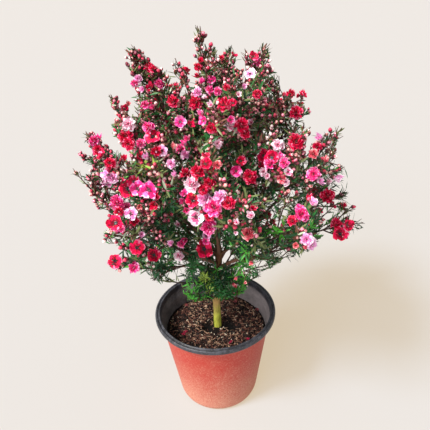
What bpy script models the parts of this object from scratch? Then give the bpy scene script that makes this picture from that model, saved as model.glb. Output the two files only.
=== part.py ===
"""A potted manuka: a small flowering bush on one short trunk, in a nursery pot.

The pot stands on its flat underside, whose centre is the origin. The trunk
rises from the soil and divides into boughs. Each bough carries one mass of
foliage: leafy shoots that fan out from one stem, with blossoms and buds.
Lengths are written in millimetres and turned into metres by MM.
"""

import math
import random
from collections import namedtuple

import bmesh
import bpy
from mathutils import Vector
from mathutils.geometry import intersect_point_line

MM = 0.001
GAP = 0.3 * MM
GOLDEN_ANGLE = math.radians(137.5)
UP = Vector((0, 0, 1))

# The pot: a thin tapered shell with a rolled rim and a stacking ledge
POT_HEIGHT = 130 * MM
POT_RIM_RADIUS = 75 * MM
POT_FOOT_RADIUS = 50.5 * MM
POT_WALL = 1.5 * MM
POT_FLOOR = 2.4 * MM
RIM_WIDTH = 6.5 * MM
RIM_DEPTH = 5.6 * MM
RIM_ROUND = 1.0 * MM
FOOT_ROUND = 2.0 * MM
LEDGE_DEPTH = 15 * MM
LEDGE_STEP = 3.0 * MM
COLLAR_FLARE = 0.4 * MM
POT_SEGMENTS = 40
DRAIN_HOLES = 5
DRAIN_SIDES = 8
DRAIN_RADIUS = 4.5 * MM
DRAIN_CIRCLE = 33 * MM

# The soil: fills the pot to well under its rim, and is level at the trunk's foot
SOIL_LEVEL = 100 * MM
SOIL_SEGMENTS = 24
SOIL_FLAT = 11 * MM
SOIL_RING_SHARES = (0.72, 0.42)
SOIL_BUMP = 1.6 * MM

# The trunk: height above the ground, drift to the side, radius, all in mm
TRUNK_SIDES = 10
TRUNK_STATIONS = (
    (100.3, 2.2, 2.5, 7.4),
    (102.6, 2.2, 2.5, 5.9),
    (107.0, 2.2, 2.5, 5.0),
    (150.0, 2.4, 2.5, 4.6),
    (180.0, 5.0, 2.0, 4.4),
    (205.0, 7.6, 1.0, 4.2),
    (216.0, 8.4, 0.4, 3.4),
    (222.0, 8.6, 0.0, 2.2),
)

# The crown: each mass lies along a ray from this centre
CROWN_CENTRE = Vector((6, 0, 195)) * MM
BOUGH_SHARE = 0.40
BOUGH_SIDES = 6
FIRST_BOUGH_RADII = (2.3 * MM, 1.5 * MM)
SECOND_BOUGH_RADII = (1.7 * MM, 1.2 * MM)
BOUGH_STEEPEST = 45
BOUGH_BOW = 0.12
BOUGH_SAG = 0.20

# The masses: azimuth and elevation in degrees (0 is +X, 90 is the back), reach
# in mm, what carries it, and where on that: a height in mm on the trunk, or a
# share of the carrying bough's length. A stem on the trunk has no bough.
Mass = namedtuple("Mass", "name azimuth elevation reach carrier place")
MASSES = tuple(
    Mass(*row)
    for row in (
        ("left", 167, 49, 211, "trunk", 206),
        ("left_top", 165, 73, 260, "left", 0.32),
        ("left_front", 192, 45, 201, "left", 0.48),
        ("left_low", 192, 28, 141, "trunk", 184),
        ("left_low_front", 214, 22, 132, "left_low", 0.45),
        ("front_left", 232, 42, 198, "trunk", 196),
        ("front", 270, 55, 216, "trunk", 211),
        ("front_top", 286, 73, 240, "front", 0.38),
        ("front_left_high", 238, 59, 222, "front", 0.55),
        ("left_high", 207, 66, 238, "front_left_high", 0.30),
        ("front_right", 306, 40, 194, "trunk", 190),
        ("front_right_low", 332, 28, 150, "front_right", 0.42),
        ("right", 351, 53, 212, "trunk", 207),
        ("right_top", 10, 77, 252, "right", 0.32),
        ("front_right_high", 322, 60, 222, "right", 0.52),
        ("right_low", 349, 23, 172, "trunk", 184),
        ("right_low_back", 11, 24, 178, "right_low", 0.36),
        ("back_right_high", 24, 59, 211, "trunk", 199),
        ("back_right_mid", 66, 50, 212, "back_right_high", 0.40),
        ("back_right", 45, 28, 188, "back_right_high", 0.26),
        ("back", 92, 28, 188, "trunk", 187),
        ("back_top", 80, 68, 240, "back", 0.26),
        ("back_left_high", 128, 55, 220, "trunk", 201),
        ("back_left", 138, 28, 186, "back_left_high", 0.34),
        ("top", 130, 87, 264, "stem", 222),
        ("skirt_left", 208, 6, 88, "stem", 166),
        ("skirt_front_right", 325, 8, 86, "stem", 163),
        ("skirt_right", 355, 6, 116, "stem", 171),
        ("skirt_back_left", 140, 4, 118, "stem", 168),
        ("skirt_back_right", 58, 4, 122, "stem", 174),
        ("sprig_left", 215, -38, 52, "stem", 150),
        ("sprig_right", 320, -35, 50, "stem", 154),
    )
)

# Shoots: a thin stalk, then a leafy spray on a slightly thicker stretch
STALK_RADIUS = 1.0 * MM
SPRAY_RADIUS = 1.9 * MM
STALK_SHARE = 0.30
SHOOT_SIDES = 3
SIDE_SHOOT_PER = 48 * MM
SIDE_OPENING = math.radians(40)
SIDE_SPREAD, SIDE_RISE = 0.35, 0.15
SIDE_LENGTHS = (0.78, 0.98)
SIDE_TRIM = 0.85
STEM_RISE = 0.35
SIDE_FROM, SIDE_FROM_TRUNK, SIDE_TO = 0.08, 0.30, 0.60
SHORTEST_SHOOT = 24 * MM
SPACE_MARGIN = 0.5 * MM
LIMB_CLEARANCE = 0.8 * MM
LOWEST_FOLIAGE = 134 * MM

# Leaves, blossoms and buds, larger than life because they are fewer. Each is
# tried at a few turns around its shoot and left out if none of them has room.
TRIES = 4
LEAF_LENGTH = 24 * MM
LEAF_WIDTH = 7.0 * MM
LEAF_THICKNESS = 1.0 * MM
LEAF_WIDEST = 0.45
LEAF_PITCH = 24 * MM
LEAF_OPENING = math.radians(50)
PETALS = 5
BLOSSOM_RADIUS = 8.2 * MM
BLOSSOM_NOTCH = 0.64
BLOSSOM_CUP = 1.3 * MM
BLOSSOM_NECK = 1.3 * MM
BLOSSOM_DEPTH = 1.2 * MM
BLOSSOM_STAND_OFF = 5.1 * MM
BLOSSOM_LEAN, BLOSSOM_LIFT = 0.5, 0.3
BLOSSOM_PITCH = 80 * MM
BUD_RADIUS = 2.8 * MM
BUD_LENGTHEN = 1.2
BUD_LEAN = 0.6
BUD_PITCH = 320 * MM
BLOSSOM_FROM, BUD_FROM = 0.40, 0.50

# Colours as linear red, green, blue, with roughness
FINISHES = {
    "pot_plastic": ((0.56, 0.10, 0.06), 0.55),
    "soil_crumb": ((0.055, 0.030, 0.020), 0.95),
    "trunk_bark": ((0.42, 0.34, 0.13), 0.75),
    "bough_bark": ((0.13, 0.075, 0.045), 0.80),
    "leaf_green": ((0.035, 0.085, 0.025), 0.50),
    "petal_red": ((0.62, 0.010, 0.045), 0.50),
    "bud_rose": ((0.45, 0.06, 0.09), 0.50),
}

COLOURS = {"leaf": "leaf_green", "blossom": "petal_red", "bud": "bud_rose"}

Limb = namedtuple("Limb", "start bend end start_radius end_radius")


def clear_scene():
    for thing in list(bpy.data.objects):
        bpy.data.objects.remove(thing)


def finish(name):
    """The named Principled material, made the first time it is asked for."""
    material = bpy.data.materials.get(name)
    if material is None:
        colour, roughness = FINISHES[name]
        material = bpy.data.materials.new(name)
        material.use_nodes = True
        shader = material.node_tree.nodes["Principled BSDF"]
        shader.inputs["Base Color"].default_value = (*colour, 1)
        shader.inputs["Roughness"].default_value = roughness
        shader.inputs["Metallic"].default_value = 0
    return material


def add_object(name, points, faces, material):
    """A mesh object from points and faces, its faces turned outwards."""
    mesh = bpy.data.meshes.new(name)
    mesh.from_pydata([tuple(p) for p in points], [], faces)
    shape = bmesh.new()
    shape.from_mesh(mesh)
    bmesh.ops.recalc_face_normals(shape, faces=shape.faces)
    shape.to_mesh(mesh)
    shape.free()
    thing = bpy.data.objects.new(name, mesh)
    bpy.context.scene.collection.objects.link(thing)
    mesh.materials.append(finish(material))
    return thing


def hide_as_cutter(thing):
    thing.hide_render = True
    thing.display_type = "WIRE"


def settle(thing, kind, **settings):
    """Adds one Boolean modifier to the object and applies it."""
    modifier = thing.modifiers.new(kind.lower(), "BOOLEAN")
    modifier.operation = kind
    modifier.solver = "EXACT"
    modifier.material_mode = "TRANSFER"
    for key, value in settings.items():
        setattr(modifier, key, value)
    graph = bpy.context.evaluated_depsgraph_get()
    solid = bpy.data.meshes.new_from_object(thing.evaluated_get(graph))
    thing.modifiers.clear()
    thing.data = solid


def keep_largest_island(thing):
    """Drops loose scraps, and the inner walls of any hollow that a join sealed."""
    shape = bmesh.new()
    shape.from_mesh(thing.data)
    islands = []
    unseen = set(shape.verts)
    while unseen:
        island = [unseen.pop()]
        for vertex in island:
            for edge in vertex.link_edges:
                other = edge.other_vert(vertex)
                if other in unseen:
                    unseen.discard(other)
                    island.append(other)
        islands.append(island)
    islands.sort(key=len)
    scraps = [vertex for island in islands[:-1] for vertex in island]
    bmesh.ops.delete(shape, geom=scraps, context="VERTS")
    shape.to_mesh(thing.data)
    shape.free()


def join_all(name, pieces):
    """One Boolean union of the first piece with a collection of all the others."""
    whole, others = pieces[0], pieces[1:]
    group = bpy.data.collections.new(name + "_pieces")
    for piece in others:
        bpy.context.scene.collection.objects.unlink(piece)
        group.objects.link(piece)
    bpy.context.scene.collection.children.link(group)
    settle(whole, "UNION", operand_type="COLLECTION", collection=group, solver="MANIFOLD")
    for piece in others:
        bpy.data.objects.remove(piece)
    bpy.data.collections.remove(group)
    keep_largest_island(whole)
    whole.name = name
    return whole


def side_vectors(along):
    """Two unit vectors at right angles to a direction and to each other."""
    guide = Vector((0, 0, 1)) if abs(along.z) < 0.9 else Vector((1, 0, 0))
    across = along.cross(guide).normalized()
    return across, along.cross(across).normalized()


def boxes_meet(one, other):
    """Whether the bounding boxes of two objects' meshes overlap."""
    for axis in range(3):
        a = [vertex.co[axis] for vertex in one.data.vertices]
        b = [vertex.co[axis] for vertex in other.data.vertices]
        if max(a) < min(b) or max(b) < min(a):
            return False
    return True


def tube(name, centres, radii, sides, material, pointed=False):
    """A tube through the centres. With pointed set, the last centre is its tip."""
    points, faces = [], []
    rings = len(centres) - (1 if pointed else 0)
    across = side_vectors((centres[1] - centres[0]).normalized())[0]
    for i in range(rings):
        before = centres[max(i - 1, 0)]
        after = centres[min(i + 1, len(centres) - 1)]
        along = (after - before).normalized() if i else (centres[1] - centres[0]).normalized()
        across = (across - along * across.dot(along)).normalized()
        upright = along.cross(across)
        for k in range(sides):
            turn = 2 * math.pi * k / sides
            points.append(
                centres[i] + (across * math.cos(turn) + upright * math.sin(turn)) * radii[i]
            )
    for i in range(rings - 1):
        for k in range(sides):
            following = (k + 1) % sides
            low, high = i * sides, (i + 1) * sides
            faces.append((low + k, low + following, high + following, high + k))
    faces.append(tuple(range(sides)))
    last = (rings - 1) * sides
    if pointed:
        points.append(centres[-1])
        faces += [(last + k, last + (k + 1) % sides, len(points) - 1) for k in range(sides)]
    else:
        faces.append(tuple(range(last, last + sides)))
    return add_object(name, points, faces, material)


def point_on(limb, t):
    return limb.start * (1 - t) ** 2 + limb.bend * (2 * t * (1 - t)) + limb.end * t**2


def heading(limb, t):
    slope = (limb.bend - limb.start) * (1 - t) + (limb.end - limb.bend) * t
    return slope.normalized()


def limb_length(limb):
    steps = [point_on(limb, i / 8) for i in range(9)]
    return sum((b - a).length for a, b in zip(steps, steps[1:]))


def limb_radius(limb, t):
    return limb.start_radius + (limb.end_radius - limb.start_radius) * t


def limb_tube(name, limb, sides, material, rings=4, grow=0.0):
    """A tapering tube along a limb. Grow widens it and lengthens its far end."""
    shares = [i / (rings - 1) for i in range(rings)]
    centres = [point_on(limb, t) for t in shares]
    centres[-1] = centres[-1] + heading(limb, 1) * grow
    radii = [limb_radius(limb, t) + grow for t in shares]
    return tube(name, centres, radii, sides, material)


def ray(azimuth, elevation):
    a, e = math.radians(azimuth), math.radians(elevation)
    return Vector((math.cos(a) * math.cos(e), math.sin(a) * math.cos(e), math.sin(e)))


def wall_radius(height):
    """Radius of the pot's outer wall below the ledge, which tapers evenly."""
    top = POT_RIM_RADIUS - RIM_WIDTH + POT_WALL - LEDGE_STEP
    share = height / (POT_HEIGHT - LEDGE_DEPTH)
    return POT_FOOT_RADIUS + (top - POT_FOOT_RADIUS) * share


def make_pot():
    """A turned shell. The profile runs up the inside, over the rim and down outside."""
    ledge = POT_HEIGHT - LEDGE_DEPTH
    under_rim = POT_HEIGHT - RIM_DEPTH
    collar = POT_RIM_RADIUS - RIM_WIDTH + POT_WALL
    mouth = POT_RIM_RADIUS - RIM_WIDTH
    profile = (
        (0, POT_FLOOR),
        (wall_radius(POT_FLOOR) - POT_WALL, POT_FLOOR),
        (wall_radius(ledge) - POT_WALL, ledge),
        (collar - POT_WALL - COLLAR_FLARE, ledge + LEDGE_STEP),
        (mouth, POT_HEIGHT - RIM_ROUND),
        (mouth + RIM_ROUND, POT_HEIGHT),
        (POT_RIM_RADIUS - RIM_ROUND, POT_HEIGHT),
        (POT_RIM_RADIUS, POT_HEIGHT - RIM_ROUND),
        (POT_RIM_RADIUS, under_rim),
        (collar, under_rim),
        (collar - COLLAR_FLARE, ledge + LEDGE_STEP),
        (wall_radius(ledge), ledge),
        (wall_radius(FOOT_ROUND), FOOT_ROUND),
        (POT_FOOT_RADIUS - FOOT_ROUND, 0),
        (0, 0),
    )
    points, faces = [], []
    for radius, height in profile[1:-1]:
        for k in range(POT_SEGMENTS):
            turn = 2 * math.pi * k / POT_SEGMENTS
            points.append((radius * math.cos(turn), radius * math.sin(turn), height))
    for i in range(len(profile) - 3):
        for k in range(POT_SEGMENTS):
            low, high = i * POT_SEGMENTS, (i + 1) * POT_SEGMENTS
            following = (k + 1) % POT_SEGMENTS
            faces.append((low + k, low + following, high + following, high + k))
    faces.append(tuple(range(POT_SEGMENTS)))
    foot = (len(profile) - 3) * POT_SEGMENTS
    faces.append(tuple(range(foot, foot + POT_SEGMENTS)))
    pot = add_object("pot", points, faces, "pot_plastic")
    for k in range(DRAIN_HOLES):
        turn = 2 * math.pi * (k + 0.5) / DRAIN_HOLES
        bpy.ops.mesh.primitive_cylinder_add(
            vertices=DRAIN_SIDES,
            radius=DRAIN_RADIUS,
            depth=4 * POT_FLOOR,
            location=(DRAIN_CIRCLE * math.cos(turn), DRAIN_CIRCLE * math.sin(turn), 0),
        )
        drill = bpy.context.object
        settle(pot, "DIFFERENCE", object=drill)
        bpy.data.objects.remove(drill)
    return pot


def make_soil():
    """A filling that follows the wall, flat at the trunk's foot and uneven beyond."""
    noise = random.Random("soil")
    foot = Vector((TRUNK_STATIONS[0][1], TRUNK_STATIONS[0][2])) * MM
    floor = POT_FLOOR + GAP
    # the pot's inside is a polygon, so its flats lie nearer than its corners
    flats = math.cos(math.pi / POT_SEGMENTS)
    low, high = ((wall_radius(z) - POT_WALL) * flats - GAP for z in (floor, SOIL_LEVEL))
    rings = [(low, floor, 0), (high, SOIL_LEVEL, 0)]
    rings += [(high * share, SOIL_LEVEL, SOIL_BUMP) for share in SOIL_RING_SHARES]
    rings.append((SOIL_FLAT, SOIL_LEVEL, 0))
    points, faces = [], []
    for number, (radius, height, bump) in enumerate(rings):
        centre = foot if number == len(rings) - 1 else Vector((0, 0))
        for k in range(SOIL_SEGMENTS):
            turn = 2 * math.pi * k / SOIL_SEGMENTS
            rise = height + bump * noise.uniform(-1, 1)
            points.append(
                (centre.x + radius * math.cos(turn), centre.y + radius * math.sin(turn), rise)
            )
    for i in range(len(rings) - 1):
        for k in range(SOIL_SEGMENTS):
            low, high = i * SOIL_SEGMENTS, (i + 1) * SOIL_SEGMENTS
            following = (k + 1) % SOIL_SEGMENTS
            faces.append((low + k, low + following, high + following, high + k))
    faces.append(tuple(range(SOIL_SEGMENTS)))
    last = (len(rings) - 1) * SOIL_SEGMENTS
    faces.append(tuple(range(last, last + SOIL_SEGMENTS)))
    return add_object("soil", points, faces, "soil_crumb")


def trunk_at(height):
    """Centre and radius of the trunk at a height in mm, between its stations."""
    for low, high in zip(TRUNK_STATIONS, TRUNK_STATIONS[1:]):
        if height <= high[0]:
            break
    share = (height - low[0]) / (high[0] - low[0])
    z, x, y, radius = (a + (b - a) * share for a, b in zip(low, high))
    return Vector((x, y, z)) * MM, radius * MM


def make_trunk(name, grow=0.0):
    centres = [Vector((x, y, z)) * MM for z, x, y, _ in TRUNK_STATIONS]
    radii = [radius * MM + grow for *_, radius in TRUNK_STATIONS]
    centres[-1] = centres[-1] + Vector((0, 0, grow))
    return tube(name, centres, radii, TRUNK_SIDES, "trunk_bark")


def plan_boughs():
    """The boughs as limbs, from the trunk or from a bough planned before."""
    boughs = {}
    for mass in MASSES:
        if mass.carrier == "stem":
            continue
        towards = ray(mass.azimuth, mass.elevation)
        end = CROWN_CENTRE + towards * (mass.reach * MM * BOUGH_SHARE)
        if mass.carrier == "trunk":
            start = trunk_at(mass.place)[0]
            radii = FIRST_BOUGH_RADII
            lean = ray(mass.azimuth, min(mass.elevation, BOUGH_STEEPEST))
        else:
            start = point_on(boughs[mass.carrier], mass.place)
            radii = SECOND_BOUGH_RADII
            lean = (end - start).normalized()
        bow = (lean - UP * BOUGH_SAG) * (end - start).length * BOUGH_BOW
        bend = start.lerp(end, 0.5) + bow
        boughs[mass.name] = Limb(start, bend, end, *radii)
    return boughs


def in_space(point, mass, margin):
    """Whether a point lies in the mass's own cone, between it and each neighbour."""
    own = ray(mass.azimuth, mass.elevation)
    from_centre = point - CROWN_CENTRE
    for other in MASSES:
        if other is mass:
            continue
        away = (own - ray(other.azimuth, other.elevation)).normalized()
        if from_centre.dot(away) < margin:
            return False
    return point.z > LOWEST_FOLIAGE


def clear_of(points, limbs, clearance):
    """Whether every point keeps the clearance from the surface of every limb."""
    for limb in limbs:
        steps = [point_on(limb, i / 6) for i in range(7)]
        wide = max(limb.start_radius, limb.end_radius) + clearance
        for a, b in zip(steps, steps[1:]):
            for p in points:
                foot, share = intersect_point_line(p, a, b)
                foot = a if share < 0 else b if share > 1 else foot
                if (p - foot).length < wide:
                    return False
    return True


def main_shoot(mass, boughs):
    """The mass's own stem: from its bough's tip, or from the trunk, to its far tip."""
    towards = ray(mass.azimuth, mass.elevation)
    end = CROWN_CENTRE + towards * mass.reach * MM
    if mass.name in boughs:
        bough = boughs[mass.name]
        way = heading(bough, 1)
        start = bough.end + way * GAP
    else:
        start = trunk_at(mass.place)[0]
        way = (towards + UP * STEM_RISE).normalized()
        if mass.name == "top":
            way = UP
            start = start + way * GAP
    bend = start + way * (end - start).length * 0.5
    return Limb(start, bend, end, STALK_RADIUS, STALK_RADIUS)


def side_shoots(mass, stem, limbs):
    """Shoots that leave the stem by turns of the golden angle and curve outwards."""
    rule = random.Random(mass.name)
    count = max(2, round(mass.reach * MM / SIDE_SHOOT_PER))
    phase = rule.uniform(0, 2 * math.pi)
    whole = limb_length(stem)
    shoots = []
    for k in range(count):
        first = SIDE_FROM if mass.carrier != "stem" else SIDE_FROM_TRUNK
        t = first + (SIDE_TO - first) * k / max(count - 1, 1)
        start, along = point_on(stem, t), heading(stem, t)
        across, upright = side_vectors(along)
        turn = phase + GOLDEN_ANGLE * k
        out = across * math.cos(turn) + upright * math.sin(turn)
        leave = along * math.cos(SIDE_OPENING) + out * math.sin(SIDE_OPENING)
        finish_way = (along + out * SIDE_SPREAD + UP * SIDE_RISE).normalized()
        length = whole * (1 - t) * rule.uniform(*SIDE_LENGTHS)
        while length > SHORTEST_SHOOT:
            bend = start + leave * length * 0.5
            end = bend + finish_way * length * 0.5
            shoot = Limb(start, bend, end, STALK_RADIUS, STALK_RADIUS)
            probes = [point_on(shoot, i / 12) for i in range(2, 13)]
            if all(in_space(p, mass, SPRAY_RADIUS + SPACE_MARGIN) for p in probes) and clear_of(
                probes, limbs, SPRAY_RADIUS + LIMB_CLEARANCE
            ):
                shoots.append(shoot)
                break
            length *= SIDE_TRIM
    return shoots


def spray(name, shoot):
    """A twig that thickens from a thin stalk to its leafy stretch and ends in a point."""
    centres = [point_on(shoot, t) for t in (0, STALK_SHARE, 0.5 * (STALK_SHARE + 1), 1)]
    radii = (STALK_RADIUS, 0.5 * (STALK_RADIUS + SPRAY_RADIUS), SPRAY_RADIUS)
    return tube(name, centres, radii, SHOOT_SIDES, "leaf_green", pointed=True)


def leaf_points(base, way, face):
    """Six corners of a lozenge blade: base, tip, two edges, back and front."""
    across = way.cross(face).normalized()
    middle = base + way * LEAF_LENGTH * LEAF_WIDEST
    return [
        base,
        base + way * LEAF_LENGTH,
        middle + across * LEAF_WIDTH / 2,
        middle - across * LEAF_WIDTH / 2,
        middle + face * LEAF_THICKNESS / 2,
        middle - face * LEAF_THICKNESS / 2,
    ]


SIX_CORNER_FACES = [(end, edge, side) for end in (0, 1) for edge in (2, 3) for side in (4, 5)]


def blossom_points(base, way):
    """A five-petalled cup: the middle, the rim, a neck of three corners, and its foot.

    Each petal has two outer corners, and a notch lies between it and the next.
    """
    across, upright = side_vectors(way)

    def at(rise, radius, turn):
        spoke = across * math.cos(turn) + upright * math.sin(turn)
        return base + way * rise + spoke * radius

    petal = 2 * math.pi / PETALS
    points = [base + way * BLOSSOM_STAND_OFF]
    for k in range(PETALS):
        points.append(at(BLOSSOM_STAND_OFF + 0.7 * BLOSSOM_CUP, BLOSSOM_RADIUS * BLOSSOM_NOTCH, petal * k))
        for share in (0.27, 0.73):
            points.append(at(BLOSSOM_STAND_OFF + BLOSSOM_CUP, BLOSSOM_RADIUS, petal * (k + share)))
    for k in range(3):
        points.append(
            at(BLOSSOM_STAND_OFF - BLOSSOM_DEPTH, BLOSSOM_NECK, 2 * math.pi * (k + 0.5) / 3)
        )
    points.append(base)
    return points


def blossom_faces():
    """The open face, the underside around the neck, and the three-sided neck."""
    rim = 3 * PETALS
    neck = rim + 1
    foot = neck + 3
    faces = []
    for k in range(rim):
        edge = (1 + k, 1 + (k + 1) % rim)
        faces.append((0, *edge))
        faces.append((neck + k * 3 // rim, *edge))
    for k in range(3):
        edge = (neck + k, neck + (k + 1) % 3)
        faces.append((1 + (k + 1) * PETALS % rim, *edge))
        faces.append((foot, *edge))
    return faces


def bud_points(base, way):
    """Six corners of a small closed bud, drawn out along its own axis."""
    across, upright = side_vectors(way)
    return [
        base - way * BUD_RADIUS * BUD_LENGTHEN,
        base + way * BUD_RADIUS * BUD_LENGTHEN,
        base + across * BUD_RADIUS,
        base - across * BUD_RADIUS,
        base + upright * BUD_RADIUS,
        base - upright * BUD_RADIUS,
    ]


def stations(shoot, pitch, first, rule):
    """Shares along a shoot's leafy part at a pitch, with one more or less by chance."""
    count = int(limb_length(shoot) * (1 - first) / pitch + rule.random())
    return [first + (1 - first) * (k + 0.5) / count for k in range(count)]


def leaf_on(root, along, out):
    way = (along * math.cos(LEAF_OPENING) + out * math.sin(LEAF_OPENING)).normalized()
    face = (along * math.sin(LEAF_OPENING) - out * math.cos(LEAF_OPENING)).normalized()
    return leaf_points(root, way, face)


def blossom_on(root, along, out):
    return blossom_points(root, (out + along * BLOSSOM_LEAN + UP * BLOSSOM_LIFT).normalized())


def bud_on(root, along, out):
    way = (out + along * BUD_LEAN).normalized()
    return bud_points(root + way * (SPRAY_RADIUS + 0.7 * BUD_RADIUS), way)


def dress(mass, shoot, number, limbs):
    """Leaves, blossoms and buds on one shoot, each in the mass's room or left out."""
    rule = random.Random(f"{mass.name}-{number}")
    kinds = (
        ("blossom", BLOSSOM_PITCH, BLOSSOM_FROM, blossom_on, blossom_faces()),
        ("leaf", LEAF_PITCH, STALK_SHARE, leaf_on, SIX_CORNER_FACES),
        ("bud", BUD_PITCH, BUD_FROM, bud_on, SIX_CORNER_FACES),
    )
    made = []
    for kind, pitch, first, shape_on, faces in kinds:
        phase = rule.uniform(0, 2 * math.pi)
        for k, t in enumerate(stations(shoot, pitch, first, rule)):
            root, along = point_on(shoot, t), heading(shoot, t)
            across, upright = side_vectors(along)
            for attempt in range(TRIES):
                turn = phase + GOLDEN_ANGLE * k + attempt * 2 * math.pi / TRIES
                out = across * math.cos(turn) + upright * math.sin(turn)
                points = shape_on(root, along, out)
                probes = points + [points[0].lerp(points[1], 0.5)]
                if all(in_space(p, mass, SPACE_MARGIN) for p in points) and clear_of(
                    probes, limbs, LIMB_CLEARANCE
                ):
                    made.append(add_object(kind, points, faces, COLOURS[kind]))
                    break
    return made


def make_mass(mass, stem, shoots, limbs, trunk_room):
    pieces = [spray(mass.name, stem)]
    if mass.carrier == "stem" and mass.name != "top":
        settle(pieces[0], "DIFFERENCE", object=trunk_room)
        keep_largest_island(pieces[0])
    for number, shoot in enumerate([stem] + shoots):
        if number:
            pieces.append(spray(mass.name, shoot))
        pieces += dress(mass, shoot, number, limbs)
    return join_all("foliage_" + mass.name, pieces)


def main():
    clear_scene()
    make_pot()
    make_soil()
    make_trunk("trunk")
    trunk_room = make_trunk("trunk_room", GAP)
    hide_as_cutter(trunk_room)

    boughs = plan_boughs()
    rooms = [trunk_room]
    for name, limb in boughs.items():
        bough = limb_tube("bough_" + name, limb, BOUGH_SIDES, "bough_bark")
        for room in rooms:
            if boxes_meet(bough, room):
                settle(bough, "DIFFERENCE", object=room)
                keep_largest_island(bough)
        rooms.append(limb_tube("room", limb, BOUGH_SIDES, "bough_bark", grow=GAP))
        hide_as_cutter(rooms[-1])
    for room in rooms[1:]:
        bpy.data.objects.remove(room)

    heights = [row[0] for row in TRUNK_STATIONS]
    trunk_limbs = [
        Limb(trunk_at(a)[0], trunk_at((a + b) / 2)[0], trunk_at(b)[0], trunk_at(a)[1], trunk_at(b)[1])
        for a, b in zip(heights, heights[1:])
    ]
    wood = list(boughs.values()) + trunk_limbs
    stems = {mass.name: main_shoot(mass, boughs) for mass in MASSES}
    for mass in MASSES:
        others = [stem for name, stem in stems.items() if name != mass.name]
        shoots = side_shoots(mass, stems[mass.name], wood + others)
        make_mass(mass, stems[mass.name], shoots, wood + others, trunk_room)
    bpy.data.objects.remove(trunk_room)


main()
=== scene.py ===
"""The potted manuka, dressed: pot, soil, bark, twigs, leaves, blossoms and buds.

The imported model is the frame. The crown grows on from the same limbs by the
same rule as the part's source, carried to finer twigs. Lengths are written in
millimetres and turned into metres by MM.
"""

import math
import random
from collections import namedtuple

import bpy
import numpy as np
from mathutils import Matrix, Vector
from mathutils.geometry import intersect_point_line


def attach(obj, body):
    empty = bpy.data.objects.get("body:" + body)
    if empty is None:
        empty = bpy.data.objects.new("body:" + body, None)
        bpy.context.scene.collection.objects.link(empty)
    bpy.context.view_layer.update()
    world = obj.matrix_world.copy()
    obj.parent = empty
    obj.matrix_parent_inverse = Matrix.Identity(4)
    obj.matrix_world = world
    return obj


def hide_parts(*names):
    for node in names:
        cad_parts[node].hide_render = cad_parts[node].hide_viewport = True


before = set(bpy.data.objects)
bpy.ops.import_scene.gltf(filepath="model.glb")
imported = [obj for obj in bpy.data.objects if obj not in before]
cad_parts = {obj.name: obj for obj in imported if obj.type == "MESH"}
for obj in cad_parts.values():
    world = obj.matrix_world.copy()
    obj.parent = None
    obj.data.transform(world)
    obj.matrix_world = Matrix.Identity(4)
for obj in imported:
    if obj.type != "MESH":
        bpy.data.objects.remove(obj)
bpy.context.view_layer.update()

MM = 0.001
GOLDEN_ANGLE = math.radians(137.5)
TURN = 2 * math.pi
UP = Vector((0, 0, 1))

# The camera, solved from the ellipses of the pot's rim and foot
FRAME_SIDE = 430
LENS = 39.0
SENSOR = 36.0
FOCAL = FRAME_SIDE * LENS / SENSOR
CAMERA_AT = Vector((0.0053, -0.451, 0.518))
CAMERA_PITCH = math.radians(29.5)
CAMERA_ROLL = math.radians(2.7)

# The pot, as in the part's source
POT_HEIGHT = 130 * MM
POT_RIM_RADIUS = 75 * MM
POT_FOOT_RADIUS = 50.5 * MM
POT_WALL = 1.5 * MM
POT_FLOOR = 2.4 * MM
RIM_WIDTH = 6.5 * MM
RIM_DEPTH = 5.6 * MM
LEDGE_DEPTH = 15 * MM
LEDGE_STEP = 3.0 * MM
COLLAR_FLARE = 0.4 * MM
DRAIN_HOLES = 5
DRAIN_RADIUS = 4.5 * MM
DRAIN_CIRCLE = 33 * MM
SOIL_LEVEL = 100 * MM

# The trunk: height, drift in x and y, and radius, in mm, as in the part's source
TRUNK_STATIONS = (
    (100.3, 2.2, 2.5, 7.4),
    (102.6, 2.2, 2.5, 5.9),
    (107.0, 2.2, 2.5, 5.0),
    (150.0, 2.4, 2.5, 4.6),
    (180.0, 5.0, 2.0, 4.4),
    (205.0, 7.6, 1.0, 4.2),
    (216.0, 8.4, 0.4, 3.4),
    (222.0, 8.6, 0.0, 2.2),
)

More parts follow.
